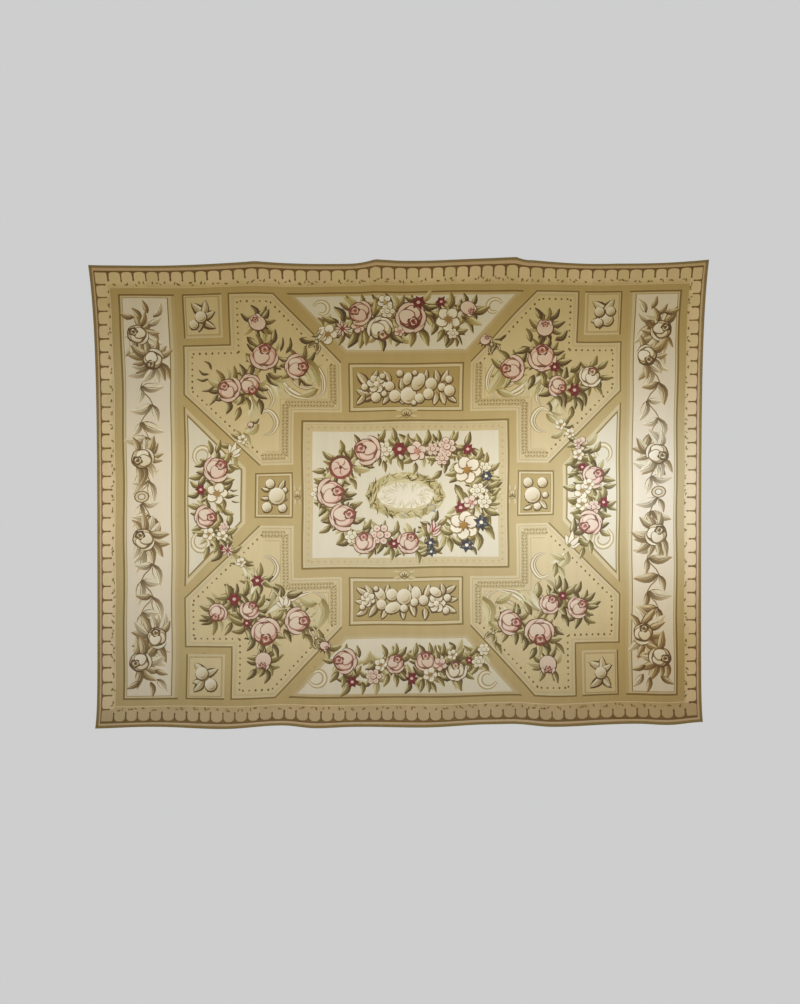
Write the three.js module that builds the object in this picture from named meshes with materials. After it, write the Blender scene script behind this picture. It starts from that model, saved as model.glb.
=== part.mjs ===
// A flat-woven wool tapestry hung by its top edge, in millimetres.
// The origin is the middle of the top edge, on the plane of the wall behind it.
// +X runs to the right as the viewer faces the front, +Y goes into the wall and +Z is up.
// The cloth was cut flat and hangs from a few points, so its top edge sags between them,
// its upper corners are pulled outwards and soft folds run down it to an uneven hem.
// A plain woven binding is folded over the edge and sewn down, in four mitred strips.

import * as THREE from "three";

// The cloth laid flat, measured over its binding
const FLAT_WIDTH = 2440;
const FLAT_HEIGHT = 1840;
const CLOTH_THICKNESS = 3;

// The cloth as it hangs
const HUNG_WIDTH = 2387;
const HUNG_DROP = 1838;
const TOP_EDGE_SLOPE = 0.0087;
const HEM_SLOPE = 0.011;
const WAVE_REACH = 110;

// How far each corner is pulled outwards, and how far down or up the sides that pull is felt
const CORNER_PULL = {
  left: { top: 38, hem: 9 },
  right: { top: 33, hem: 7 },
};
const TOP_PULL_REACH = 270;
const HEM_PULL_REACH = 70;

// The binding: a thin tape folded over the edge, a thread's width clear of the cloth
const BINDING_WIDTH = 10;
const BINDING_THICKNESS = 1;
const BINDING_BEVEL = 0.5;
const SEAM_GAP = 0.3;
const MITRE_GAP = 0.25;

// The top edge, from left to right: where a point lies across the flat cloth, how far it hangs
// above the middle of the edge, and how far the edge sags on the way to the next point
const TOP_EDGE = [
  { across: -1220, lift: -6, sag: 10 },
  { across: -566, lift: 4, sag: 6 },
  { across: -185, lift: -10, sag: 3 },
  { across: -95, lift: 7, sag: 0 },
  { across: 0, lift: 0, sag: 2 },
  { across: 203, lift: 2, sag: 0 },
  { across: 462, lift: 11, sag: 4 },
  { across: 525, lift: -2, sag: 6 },
  { across: 855, lift: -20, sag: 5 },
  { across: 1220, lift: -6, sag: 0 },
];

// The hem, from left to right: its crests and troughs above and below a straight line
const HEM = [
  { across: -1220, rise: 0 },
  { across: -1021, rise: 4.5 },
  { across: -700, rise: -6.5 },
  { across: -475, rise: 4 },
  { across: -326, rise: -8 },
  { across: -190, rise: -5 },
  { across: 103, rise: -9.5 },
  { across: 365, rise: -1 },
  { across: 453, rise: 0 },
  { across: 625, rise: -12 },
  { across: 955, rise: -4.5 },
  { across: 1080, rise: -9.5 },
  { across: 1220, rise: 0 },
];

// The soft folds that stand forward from the wall, each on a line from the top edge to the hem
const FOLDS = [
  { top: -1060, hem: -1040, width: 100, topDepth: 10, hemDepth: 4 },
  { top: -760, hem: -690, width: 140, topDepth: 5, hemDepth: 16 },
  { top: -300, hem: -330, width: 120, topDepth: 8, hemDepth: 13 },
  { top: 120, hem: 103, width: 150, topDepth: 5, hemDepth: 14 },
  { top: 650, hem: 625, width: 130, topDepth: 9, hemDepth: 20 },
  { top: 900, hem: 1075, width: 120, topDepth: 14, hemDepth: 15 },
];

// The points that hold the top edge against the wall, and how far around each the cloth lies close
const HELD_POINTS = [-1220, -566, -95, 462, 1220];
const HELD_WIDTH = 70;
const HELD_DROP = 90;

// The side edges stand a little off the wall
const SIDE_CURL = 7;
const SIDE_CURL_REACH = 170;

// Spacing of the surface's stations, and how near a marked place an even one may lie, as a share of it
const COLUMN_SPACING = 54;
const ROW_SPACING = 74;
const MARK_CLEARANCE = 0.4;

const halfWidth = FLAT_WIDTH / 2;
const halfHeight = FLAT_HEIGHT / 2;

// The room that the binding takes between the cloth and the finished edge, or between cloth and wall
const bindingRoom = BINDING_THICKNESS + SEAM_GAP;

// The two rows of a table that a place lies between, and how far along it is from one to the other
function between(table, across) {
  const last = table.length - 2;
  const found = table.findIndex((row, i) => i === last || across < table[i + 1].across);
  const from = table[found];
  const to = table[found + 1];
  return { from, to, share: (across - from.across) / (to.across - from.across) };
}

// Height of the top edge above its middle: straight from point to point, less a parabola of sag
function topLift(across) {
  const { from, to, share } = between(TOP_EDGE, across);
  return THREE.MathUtils.lerp(from.lift, to.lift, share) - 4 * from.sag * share * (1 - share);
}

// Height of the hem above its straight line, easing from each crest to the next trough
function hemRise(across) {
  const { from, to, share } = between(HEM, across);
  const eased = (1 - Math.cos(Math.PI * share)) / 2;
  return THREE.MathUtils.lerp(from.rise, to.rise, eased);
}

function bell(distance, width) {
  return Math.exp(-((distance / width) ** 2));
}

// How far the back of the cloth stands forward of where it would touch the wall
function standOff(across, down) {
  const share = down / FLAT_HEIGHT;
  let forward = SIDE_CURL * Math.exp((Math.abs(across) - halfWidth) / SIDE_CURL_REACH);
  for (const fold of FOLDS) {
    const line = THREE.MathUtils.lerp(fold.top, fold.hem, share);
    const depth = THREE.MathUtils.lerp(fold.topDepth, fold.hemDepth, share);
    forward += depth * bell(across - line, fold.width);
  }
  let free = 1;
  for (const held of HELD_POINTS) {
    free *= 1 - bell(across - held, HELD_WIDTH) * Math.exp(-down / HELD_DROP);
  }
  return forward * free;
}

// A place on the flat cloth, carried to where it hangs. proud is the distance in front of the
// cloth's back face, so 0 is the back, CLOTH_THICKNESS is the front and less than 0 is behind it.
function hang(across, down, proud) {
  const up = FLAT_HEIGHT - down;
  const share = down / FLAT_HEIGHT;
  const pull = across < 0 ? CORNER_PULL.left : CORNER_PULL.right;
  const spread = pull.top * Math.exp(-down / TOP_PULL_REACH) + pull.hem * Math.exp(-up / HEM_PULL_REACH);
  const x = (across / halfWidth) * (HUNG_WIDTH / 2 + spread);
  const slope = THREE.MathUtils.lerp(TOP_EDGE_SLOPE, HEM_SLOPE, share);
  const waves = topLift(across) * Math.exp(-down / WAVE_REACH) + hemRise(across) * Math.exp(-up / WAVE_REACH);
  const z = x * slope - share * HUNG_DROP + waves;
  return new THREE.Vector3(x, -bindingRoom - standOff(across, down) - proud, z);
}

// Even stations from one end of a span to the other, with the marked places kept among them
function stations(from, to, spacing, marks) {
  const count = Math.ceil((to - from) / spacing);
  const even = Array.from({ length: count - 1 }, (_, i) => from + ((i + 1) * (to - from)) / count);
  const room = spacing * MARK_CLEARANCE;
  const clear = even.filter((place) => marks.every((mark) => Math.abs(place - mark) > room));
  return [from, ...clear, ...marks, to].sort((a, b) => a - b);
}

// A BufferGeometry from corner points and triangles of their numbers
function solidFrom(points, triangles) {
  const geometry = new THREE.BufferGeometry();
  geometry.setAttribute("position", new THREE.Float32BufferAttribute(points.flatMap((p) => p.toArray()), 3));
  geometry.setIndex(triangles.flat());
  geometry.computeVertexNormals();
  return geometry;
}

// The cloth: a front and a back face on the same stations, closed by a rim
function clothSolid(columns, rows) {
  const points = [];
  const front = (i, j) => 2 * (j * columns.length + i);
  const back = (i, j) => front(i, j) + 1;
  for (const down of rows) {
    for (const across of columns) {
      points.push(hang(across, down, CLOTH_THICKNESS), hang(across, down, 0));
    }
  }
  const triangles = [];
  const quad = (a, b, c, d) => triangles.push([a, b, c], [a, c, d]);
  const lastColumn = columns.length - 1;
  const lastRow = rows.length - 1;
  for (let j = 0; j < lastRow; j += 1) {
    for (let i = 0; i < lastColumn; i += 1) {
      quad(front(i, j), front(i, j + 1), front(i + 1, j + 1), front(i + 1, j));
      quad(back(i, j), back(i + 1, j), back(i + 1, j + 1), back(i, j + 1));
    }
    quad(back(0, j), back(0, j + 1), front(0, j + 1), front(0, j));
    quad(front(lastColumn, j), front(lastColumn, j + 1), back(lastColumn, j + 1), back(lastColumn, j));
  }
  for (let i = 0; i < lastColumn; i += 1) {
    quad(back(i, 0), front(i, 0), front(i + 1, 0), back(i + 1, 0));
    quad(front(i, lastRow), back(i, lastRow), back(i + 1, lastRow), front(i + 1, lastRow));
  }
  return solidFrom(points, triangles);
}

// The binding's section, as a flat U that opens towards the middle of the cloth:
// inset is the distance in from the finished edge, proud is as in hang
function bindingSection() {
  const front = CLOTH_THICKNESS + SEAM_GAP;
  const back = -SEAM_GAP;
  const outerFront = front + BINDING_THICKNESS;
  const outerBack = back - BINDING_THICKNESS;
  return [
    { inset: BINDING_WIDTH, proud: outerFront },
    { inset: BINDING_BEVEL, proud: outerFront },
    { inset: 0, proud: outerFront - BINDING_BEVEL },
    { inset: 0, proud: outerBack + BINDING_BEVEL },
    { inset: BINDING_BEVEL, proud: outerBack },
    { inset: BINDING_WIDTH, proud: outerBack },
    { inset: BINDING_WIDTH, proud: back },
    { inset: BINDING_THICKNESS, proud: back },
    { inset: BINDING_THICKNESS, proud: front },
    { inset: BINDING_WIDTH, proud: front },
  ];
}

// One strip of binding. Its section is carried from station to station along one edge of the cloth,
// where place(along, inset, proud) says where a point of it hangs, and each end is cut to a mitre.
// along runs from the middle of the edge. reversed says that this way turns the section over.
function bindingStrip({ halfLength, marks, place, reversed }) {
  const section = bindingSection();
  const inner = halfLength - BINDING_WIDTH - 2 * SEAM_GAP;
  const mitre = (side) => section.map((corner) => side * (halfLength - corner.inset - MITRE_GAP));
  const square = (along) => section.map(() => along);
  const cuts = [mitre(-1), ...[-inner, ...marks, inner].map(square), mitre(1)];
  const carried = (along, k) => place(along, section[k].inset, section[k].proud);
  const points = cuts.flatMap((cut) => cut.map(carried));
  const sides = section.length;
  const triangles = [];
  for (let i = 0; i < cuts.length - 1; i += 1) {
    for (let k = 0; k < sides; k += 1) {
      const a = i * sides + k;
      const b = i * sides + ((k + 1) % sides);
      triangles.push([a, a + sides, b + sides], [a, b + sides, b]);
    }
  }
  const outline = section.map((corner) => new THREE.Vector2(corner.inset, corner.proud));
  const lastCut = (cuts.length - 1) * sides;
  for (const [a, b, c] of THREE.ShapeUtils.triangulateShape(outline, [])) {
    triangles.push([a, b, c], [lastCut + c, lastCut + b, lastCut + a]);
  }
  const turned = reversed ? triangles.map(([a, b, c]) => [a, c, b]) : triangles;
  return solidFrom(points, turned);
}

const wool = new THREE.MeshStandardMaterial({ name: "tapestry wool", color: 0xbfae84, roughness: 0.95 });
const tape = new THREE.MeshStandardMaterial({ name: "binding tape", color: 0x7d6a45, roughness: 0.95 });

// Places of the stations: the cloth's own edge, the binding's inner edge and each point of the top edge
const seamAcross = halfWidth - BINDING_WIDTH;
const topMarks = TOP_EDGE.slice(1, -1).map((row) => row.across);
const columns = stations(-halfWidth + bindingRoom, halfWidth - bindingRoom, COLUMN_SPACING, [
  -seamAcross,
  ...topMarks,
  seamAcross,
]);
const rows = stations(bindingRoom, FLAT_HEIGHT - bindingRoom, ROW_SPACING, [
  BINDING_WIDTH,
  FLAT_HEIGHT - BINDING_WIDTH,
]);

const tapestry = new THREE.Group();

function addPiece(name, geometry, material) {
  const mesh = new THREE.Mesh(geometry, material);
  mesh.name = name;
  tapestry.add(mesh);
}

addPiece("tapestry", clothSolid(columns, rows), wool);

// The strips share the cloth's stations between its seams, so that their faces follow the cloth's
const innerColumns = columns.slice(2, -2);
const innerRows = rows.slice(2, -2).map((down) => down - halfHeight);
const strips = {
  binding_top: {
    halfLength: halfWidth,
    marks: innerColumns,
    reversed: false,
    place: (along, inset, proud) => hang(along, inset, proud),
  },
  binding_hem: {
    halfLength: halfWidth,
    marks: innerColumns,
    reversed: true,
    place: (along, inset, proud) => hang(along, FLAT_HEIGHT - inset, proud),
  },
  binding_left: {
    halfLength: halfHeight,
    marks: innerRows,
    reversed: true,
    place: (along, inset, proud) => hang(-halfWidth + inset, halfHeight + along, proud),
  },
  binding_right: {
    halfLength: halfHeight,
    marks: innerRows,
    reversed: false,
    place: (along, inset, proud) => hang(halfWidth - inset, halfHeight + along, proud),
  },
};
for (const [name, strip] of Object.entries(strips)) {
  addPiece(name, bindingStrip(strip), tape);
}

export default tapestry;
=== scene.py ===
# %% [markdown]
# # A tapestry woven in wool and hung by its top edge
#
# The real piece is one flat-woven wool cloth with a dark tape folded round its edge.
# It hangs by its top edge, so it falls in a few very shallow folds and its hem wanders.
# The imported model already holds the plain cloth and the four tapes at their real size.
# This lesson keeps that size and puts the weave, the woven pattern and the sewing on it.

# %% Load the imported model
import math
import random
from collections import namedtuple
from functools import partial

import bpy
import numpy
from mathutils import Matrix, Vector
from mathutils.bvhtree import BVHTree
from mathutils.geometry import delaunay_2d_cdt
from mathutils.kdtree import KDTree


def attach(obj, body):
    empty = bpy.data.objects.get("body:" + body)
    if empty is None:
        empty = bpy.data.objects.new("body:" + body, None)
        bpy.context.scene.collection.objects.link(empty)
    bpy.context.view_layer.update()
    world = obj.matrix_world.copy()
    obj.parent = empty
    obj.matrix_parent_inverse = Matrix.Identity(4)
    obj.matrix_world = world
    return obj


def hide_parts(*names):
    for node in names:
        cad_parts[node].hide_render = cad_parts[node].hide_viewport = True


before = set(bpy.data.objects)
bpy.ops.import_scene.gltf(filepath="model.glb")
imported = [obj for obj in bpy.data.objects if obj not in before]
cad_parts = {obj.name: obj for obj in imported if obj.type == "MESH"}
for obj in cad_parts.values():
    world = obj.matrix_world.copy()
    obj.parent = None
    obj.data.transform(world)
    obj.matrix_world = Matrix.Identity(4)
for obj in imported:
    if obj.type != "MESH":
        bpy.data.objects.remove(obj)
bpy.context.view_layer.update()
MM = 0.001
dice = random.Random(1840)
print("solids:", sorted(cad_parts))

# %% [markdown]
# ## The camera, the daylight and the soft lamps
#
# The photograph looks straight at the cloth from far away, so lines stay parallel.
# A long lens does that, and its picture is 1004 pixels high at 3.96 mm to a pixel.
# The world is the pale grey of the background and lights everything evenly.
# Soft lamps in front brighten the middle, the right one more, as in the photograph. Two
# more hang behind, for whoever looks at the back of the cloth.

# %% Camera
PIXEL = 3.96 * MM
PICTURE_HEIGHT = 1004 * PIXEL
VIEW_MIDDLE = Vector((0.003, 0.0, -0.955))
VIEW_DISTANCE = 9.0

camera_data = bpy.data.cameras.new("camera")
camera_data.sensor_fit = "VERTICAL"
camera_data.sensor_height = 24.0
camera_data.lens = camera_data.sensor_height * VIEW_DISTANCE / PICTURE_HEIGHT
camera = bpy.data.objects.new("camera", camera_data)
camera.location = VIEW_MIDDLE + Vector((0.0, -VIEW_DISTANCE, 0.0))
camera.rotation_euler = (math.radians(90), 0.0, 0.0)
bpy.context.scene.collection.objects.link(camera)
bpy.context.scene.camera = camera
bpy.context.scene.view_settings.view_transform = "Standard"
print("lens", round(camera_data.lens, 1), "mm")

# %% Daylight and lamps
BACKGROUND = (0.6105, 0.617, 0.6105, 1.0)
LAMPS = {                                        # across, height, watts, in front or behind
    "left lamp": (-0.75, -0.95, 3.0, -1), "right lamp": (0.72, -0.95, 5.2, -1),
    "low lamp": (-0.25, -1.42, 1.15, -1),
    "left back lamp": (-0.7, -0.95, 5.0, 1), "right back lamp": (0.7, -0.95, 5.0, 1)}
LAMP_REACH, LAMP_SIZE = 0.6, (1.2, 0.3)

world = bpy.data.worlds.new("daylight")
world.use_nodes = True
world.node_tree.nodes["Background"].inputs["Color"].default_value = BACKGROUND
bpy.context.scene.world = world
for name, (across, height, watts, side) in LAMPS.items():
    lamp = bpy.data.lights.new(name, "AREA")
    lamp.shape, lamp.size, lamp.size_y, lamp.energy = "RECTANGLE", *LAMP_SIZE, watts
    holder = bpy.data.objects.new(name, lamp)
    holder.location = (across, side * LAMP_REACH, height)
    holder.rotation_euler = (-side * math.radians(90), 0.0, 0.0)
    holder.visible_camera = False
    bpy.context.scene.collection.objects.link(holder)
print("lamps:", len(LAMPS))

# %% [markdown]
# ## How the flat cloth hangs
#
# A point of the flat cloth is given by u, across from its middle, and v, down from its top,
# both in millimetres. One function carries such a point to its place on the wall. The
# heading is held at five places and sags between them, the folds hang from the gaps, and
# the hem rises and falls. These are the numbers of the solid, so the two lie together.

# %% Sizes of the hanging cloth
WIDTH, DROP, THICKNESS = 2440.0, 1840.0, 3.0
HUNG_WIDTH, HUNG_DROP = 2387.0, 1838.0
TOP_SLOPE, HEM_SLOPE, WAVE_REACH = 0.0087, 0.011, 110.0
LEFT_PULL, RIGHT_PULL = (38.0, 9.0), (33.0, 7.0)          # at the top, at the hem
TOP_PULL_REACH, HEM_PULL_REACH = 270.0, 70.0
TAPE_WIDTH, TAPE_THICKNESS, SEAM_GAP, MITRE_GAP = 10.0, 1.0, 0.3, 0.25
TAPE_ROOM = TAPE_THICKNESS + SEAM_GAP
TOP_EDGE = numpy.array([                                   # across, lift, sag to the next
    (-1220, -6, 10), (-566, 4, 6), (-185, -10, 3), (-95, 7, 0), (0, 0, 2), (203, 2, 0),
    (462, 11, 4), (525, -2, 6), (855, -20, 5), (1220, -6, 0)], dtype=float)
HEM = numpy.array([                                        # across, rise
    (-1220, 0), (-1021, 4.5), (-700, -6.5), (-475, 4), (-326, -8), (-190, -5), (103, -9.5),
    (365, -1), (453, 0), (625, -12), (955, -4.5), (1080, -9.5), (1220, 0)], dtype=float)
FOLDS = [                                # across at top, at hem, width, depth at top, at hem
    (-1060, -1040, 100, 10, 4), (-760, -690, 140, 5, 16), (-300, -330, 120, 8, 13),
    (120, 103, 150, 5, 14), (650, 625, 130, 9, 20), (900, 1075, 120, 14, 15)]
HELD_POINTS, HELD_WIDTH, HELD_DROP = (-1220, -566, -95, 462, 1220), 70.0, 90.0
SIDE_CURL, SIDE_CURL_REACH, PUCKER_DEPTH = 7.0, 170.0, 0.45


# %% The hang as one function
def along(table, u):
    """Which row of the table u follows, and how far on to the next row it is."""
    row = numpy.clip(numpy.searchsorted(table[:, 0], u, side="right") - 1, 0, len(table) - 2)
    return row, (u - table[row, 0]) / (table[row + 1, 0] - table[row, 0])


def stand_off(u, v):
    """How far the cloth stands off the wall, in millimetres."""
    down = v / DROP
    depth = SIDE_CURL * numpy.exp((numpy.abs(u) - WIDTH / 2) / SIDE_CURL_REACH)
    for top, hem, width, top_depth, hem_depth in FOLDS:
        middle = top + (hem - top) * down
        bell = numpy.exp(-((u - middle) / width) ** 2)
        depth = depth + (top_depth + (hem_depth - top_depth) * down) * bell
    for held in HELD_POINTS:
        depth = depth * (1 - numpy.exp(-((u - held) / HELD_WIDTH) ** 2 - v / HELD_DROP))
    return depth


def pucker(u, v):
    """The slight cockle of a hand-woven cloth, in millimetres."""
    wave = numpy.sin(u / 37 + 2.1 * numpy.sin(v / 290)) * numpy.sin(v / 47 + 1.3 * numpy.sin(u / 240))
    return PUCKER_DEPTH * wave


def hang(flat, proud):
    """Points of the flat cloth, an array of u and v, hung on the wall, in metres."""
    u, v = flat[:, 0], flat[:, 1]
    left = u < 0
    spread = (numpy.where(left, LEFT_PULL[0], RIGHT_PULL[0]) * numpy.exp(-v / TOP_PULL_REACH)
              + numpy.where(left, LEFT_PULL[1], RIGHT_PULL[1]) * numpy.exp(-(DROP - v) / HEM_PULL_REACH))
    x = u / (WIDTH / 2) * (HUNG_WIDTH / 2 + spread)
    row, t = along(TOP_EDGE, u)
    lift = TOP_EDGE[row, 1] * (1 - t) + TOP_EDGE[row + 1, 1] * t - 4 * TOP_EDGE[row, 2] * t * (1 - t)
    row, t = along(HEM, u)
    eased = (1 - numpy.cos(math.pi * t)) / 2
    rise = HEM[row, 1] * (1 - eased) + HEM[row + 1, 1] * eased
    down = v / DROP
    z = (x * (TOP_SLOPE * (1 - down) + HEM_SLOPE * down) - down * HUNG_DROP
         + lift * numpy.exp(-v / WAVE_REACH) + rise * numpy.exp(-(DROP - v) / WAVE_REACH))
    y = -TAPE_ROOM - stand_off(u, v) - numpy.abs(pucker(u, v)) - proud
    return numpy.stack([x, y, z], axis=1) * MM


corners = hang(numpy.array([(-WIDTH / 2, 0), (WIDTH / 2, 0), (WIDTH / 2, DROP), (-WIDTH / 2, DROP)]), 0.0)
print("hung corners:", [[round(c, 3) for c in corner] for corner in corners.tolist()])

# %% [markdown]
# ## The yarns, their age and painted light
#
# The wool was dyed in a few dozen shades, and each is written once, as the share of red,
# green and blue light that it sends back. Towards the ends of the cloth the wool is made
# browner and deeper, and in the middle paler. That is partly the real fading of old dyes and
# partly painted light: a pool of painted light, brightest in the middle and to the right,
# and painted shade towards the top, the hem and the lower right corner. A power on each
# colour does that gently: blue, the weakest dye, changes most.

# %% Yarns
YARN = {
    "gold": (0.42, 0.33, 0.165), "gold_dark": (0.37, 0.28, 0.13), "gold_deep": (0.27, 0.20, 0.075),
    "shadow": (0.20, 0.145, 0.05), "tan": (0.44, 0.355, 0.20), "cream": (0.53, 0.45, 0.285),
    "white": (0.60, 0.55, 0.43), "ivory": (0.70, 0.64, 0.51), "field": (0.545, 0.45, 0.27),
    "umber": (0.36, 0.275, 0.12), "tape": (0.20, 0.145, 0.065), "stripe": (0.54, 0.41, 0.27),
    "line": (0.175, 0.12, 0.045), "scallop": (0.63, 0.50, 0.325), "scallop_green": (0.60, 0.49, 0.30),
    "buff": (0.47, 0.37, 0.225), "pearl": (0.63, 0.555, 0.435), "straw": (0.50, 0.415, 0.25),
    "dot": (0.15, 0.105, 0.042), "moss": (0.072, 0.053, 0.015), "olive": (0.215, 0.163, 0.056),
    "sage": (0.43, 0.37, 0.19), "pale_leaf": (0.53, 0.48, 0.30), "blush": (0.63, 0.53, 0.42),
    "petal": (0.60, 0.43, 0.355), "rose": (0.47, 0.245, 0.19), "wine": (0.125, 0.05, 0.028),
    "crimson": (0.23, 0.055, 0.05), "ruby": (0.145, 0.014, 0.024), "amber": (0.33, 0.18, 0.045),
    "ink": (0.035, 0.036, 0.05), "steel": (0.24, 0.26, 0.26), "bark": (0.095, 0.062, 0.026),
    "sepia": (0.145, 0.095, 0.038), "russet": (0.28, 0.195, 0.09), "biscuit": (0.55, 0.455, 0.30),
}
# Real fading of the dyes and painted light together: the colours are paler and brighter in the middle, and
# painted shade deepens them towards the ends.
AGE_AND_SHADE_AT_TOP, AGE_AND_SHADE_AT_HEM = numpy.array([0.08, 0.25, 0.52]), numpy.array([0.06, 0.17, 0.28])
PALEST, FADE_AND_LIGHT_ABOVE, FADE_AND_LIGHT_BELOW = 1130, 620.0, 700.0        # the palest height, and the reach from it
FADE_AND_LIGHT_SPOTS = [                                   # middle, reach across and down, more fading and painted light (below 0: painted shade)
    (1000, 760, 480, 330, 0.40), (1150, 1750, 420, 300, -0.75), (1050, 1460, 260, 240, -0.55),
    (-1050, 1640, 300, 260, 0.25), (-1040, 420, 220, 240, 0.45)]


def faded_and_lit(u, v):
    """How far the dye has faded and how much light is painted in: 0 at the dark ends, 1 in the middle, more
    in spots of painted light, and below 0 in spots of painted shade.
    """
    reach = numpy.where(v < PALEST, FADE_AND_LIGHT_ABOVE, FADE_AND_LIGHT_BELOW)
    # Painted light: the term in u makes the right side paler and brighter.
    fade_and_light_here = numpy.exp(-((v - PALEST) / reach) ** 2) * (0.86 + 0.2 * u / (WIDTH / 2))
    for middle_u, middle_v, across, down, more in FADE_AND_LIGHT_SPOTS:
        away = ((u - middle_u) / across) ** 2 + ((v - middle_v) / down) ** 2
        fade_and_light_here = fade_and_light_here + more * numpy.exp(-away)
    return numpy.clip(fade_and_light_here, -0.2, 1.5)


def aged_and_lit(colours, u, v):
    # Deepens the colours towards the ends of the cloth: real ageing of the dyes and painted shade, with
    # painted light in the paler middle.
    down = numpy.clip(v / DROP, 0, 1)[:, None]
    power = AGE_AND_SHADE_AT_TOP * (1 - down) + AGE_AND_SHADE_AT_HEM * down
    return colours ** (1 + (1 - faded_and_lit(u, v))[:, None] * power)


print("yarns:", len(YARN))

# %% [markdown]
# ## Drawing with patches of yarn
#
# In a tapestry every shape is an area of one yarn, woven beside its neighbour. Here each
# shape is a patch: a closed outline with one yarn, or with a yarn that turns into another
# along a line, as hatching does. Patches are laid in order, and a later one covers an
# earlier one. Blender's constrained triangulation then cuts the whole cloth along all
# their outlines at once, so the pattern is in the mesh itself, without any picture.

# %% Patches and simple outlines
Patch = namedtuple("Patch", "outline start finish axis main")
patches = []


def weave(outline, yarn, toward=None, axis=None, main=False, shade=0.03):
    """Lays a patch. axis is u, v to u, v, along which the yarn turns into toward."""
    tint = 1 + dice.uniform(-shade, shade)
    start = [tint * part for part in YARN[yarn]]
    finish = [tint * part for part in YARN[toward or yarn]]
    patches.append(Patch(list(outline), start, finish, axis or (0, 0, 1, 0), main))


def circle(u, v, across, down=None, sides=14, lumps=0, depth=0.0, start=0.0):
    """A round outline; its edge can have soft lobes."""
    down = down or across
    outline = []
    for step in range(sides):
        turn = math.tau * step / sides + math.radians(start)
        swell = 1 + depth * math.cos(lumps * (turn - math.radians(start)))
        outline.append((u + across * swell * math.cos(turn), v + down * swell * math.sin(turn)))
    return outline


def put(local, u, v, heading=0.0):
    """Points drawn along x, turned to a heading in degrees (90 is down) and moved to u, v."""
    c, s = math.cos(math.radians(heading)), math.sin(math.radians(heading))
    return [(u + (x * c - y * s), v + (x * s + y * c)) for x, y in local]


def step_from(u, v, heading, distance):
    return u + distance * math.cos(math.radians(heading)), v + distance * math.sin(math.radians(heading))


# %% Blades and strokes
def blade(length, width, bend=0.0, steps=6, fat=0.8):
    """A leaf's outline from its stalk at 0, 0 to its tip."""
    upper, lower = [], []
    for step in range(steps + 1):
        t = step / steps
        middle = bend * length * math.sin(math.pi * t)
        half = width / 2 * math.sin(math.pi * t ** fat) if step < steps else 0.0
        upper.append((length * t, middle - half))
        lower.append((length * t, middle + half))
    return upper + lower[1:-1][::-1]


def smooth(points, steps=4):
    """A soft line through the points."""
    line = []
    ends = [points[0], *points, points[-1]]
    for a, b, c, d in zip(ends, ends[1:], ends[2:], ends[3:]):
        for step in range(steps):
            t = step / steps
            line.append(tuple(
                0.5 * (2 * q + (r - p) * t + (2 * p - 5 * q + 4 * r - s) * t * t
                       + (3 * q - p - 3 * r + s) * t ** 3) for p, q, r, s in zip(a, b, c, d)))
    return line + [points[-1]]


def ribbon(points, width, tip=0.25, steps=4):
    """The outline of a stroke that is widest in the middle and thin at its tips."""
    line = smooth(points, steps)
    left, right = [], []
    for index, (u, v) in enumerate(line):
        before, after = line[max(index - 1, 0)], line[min(index + 1, len(line) - 1)]
        du, dv = after[0] - before[0], after[1] - before[1]
        size = math.hypot(du, dv) or 1.0
        half = width / 2 * (tip + (1 - tip) * math.sin(math.pi * index / (len(line) - 1)))
        left.append((u - dv / size * half, v + du / size * half))
        right.append((u + dv / size * half, v - du / size * half))
    return left + right[::-1]


def stroke(points, width, yarn, toward=None, tip=0.25, steps=4):
    weave(ribbon(points, width, tip, steps), yarn, toward, (*points[0], *points[-1]))


# %% [markdown]
# ## The compartments
#
# The pattern is a frame of flat gold bands with panels between them. It was drawn as one
# quarter and turned over twice, but its middle was woven about 30 mm to the right of the
# middle of the cloth. So panels are written as distances from the pattern's middle, and
# one function moves them on to the cloth. Light falls as if from the middle: an edge that
# faces outwards has a dark olive line, and one that faces inwards has a light moulding.

# %% Pattern to cloth
DRIFT, DRIFT_POWER, PATTERN_MIDDLE = 30.0, 1.6, 925.0


def on_cloth(outline):
    return [(u + DRIFT * (1 - min(abs(u) / (WIDTH / 2), 1) ** DRIFT_POWER), v + PATTERN_MIDDLE)
            for u, v in outline]


def mirrored(outline):
    """The four copies of an outline that is drawn in the lower right quarter."""
    return [[(across * u, down * v) for u, v in outline] for across in (-1, 1) for down in (-1, 1)]


def area(outline):
    return sum(a[0] * b[1] - b[0] * a[1] for a, b in zip(outline, outline[1:] + outline[:1])) / 2


def inset(outline, inward, outward=None):
    """The outline moved in, by one distance where a side faces inwards and another outwards."""
    outward = inward if outward is None else outward
    turn = 1 if area(outline) > 0 else -1
    lines = []
    for (u, v), (u_next, v_next) in zip(outline, outline[1:] + outline[:1]):
        du, dv = u_next - u, v_next - v
        size = math.hypot(du, dv)
        normal_u, normal_v = turn * dv / size, -turn * du / size
        faces_out = normal_u * (u + u_next) + normal_v * (v + v_next) > 0
        depth = outward if faces_out else inward
        lines.append((normal_u, normal_v, normal_u * u + normal_v * v - depth))
    moved = []
    for (a, b, c), (d, e, f) in zip(lines[-1:] + lines[:-1], lines):
        scale = a * e - b * d
        moved.append(((c * e - b * f) / scale, (a * f - c * d) / scale))
    return moved


def panel(outline, layers):
    """Lays an outline in mouldings: layers are inward depth, outward depth and yarn."""
    for inward, outward, yarn in layers:
        weave(on_cloth(inset(outline, inward, outward)), yarn, main=True, shade=0.0)


def box(left, top, right, bottom):
    return [(left, top), (right, top), (right, bottom), (left, bottom)]


def cross_box(across, down):
    return box(-across, -down, across, down)


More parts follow.
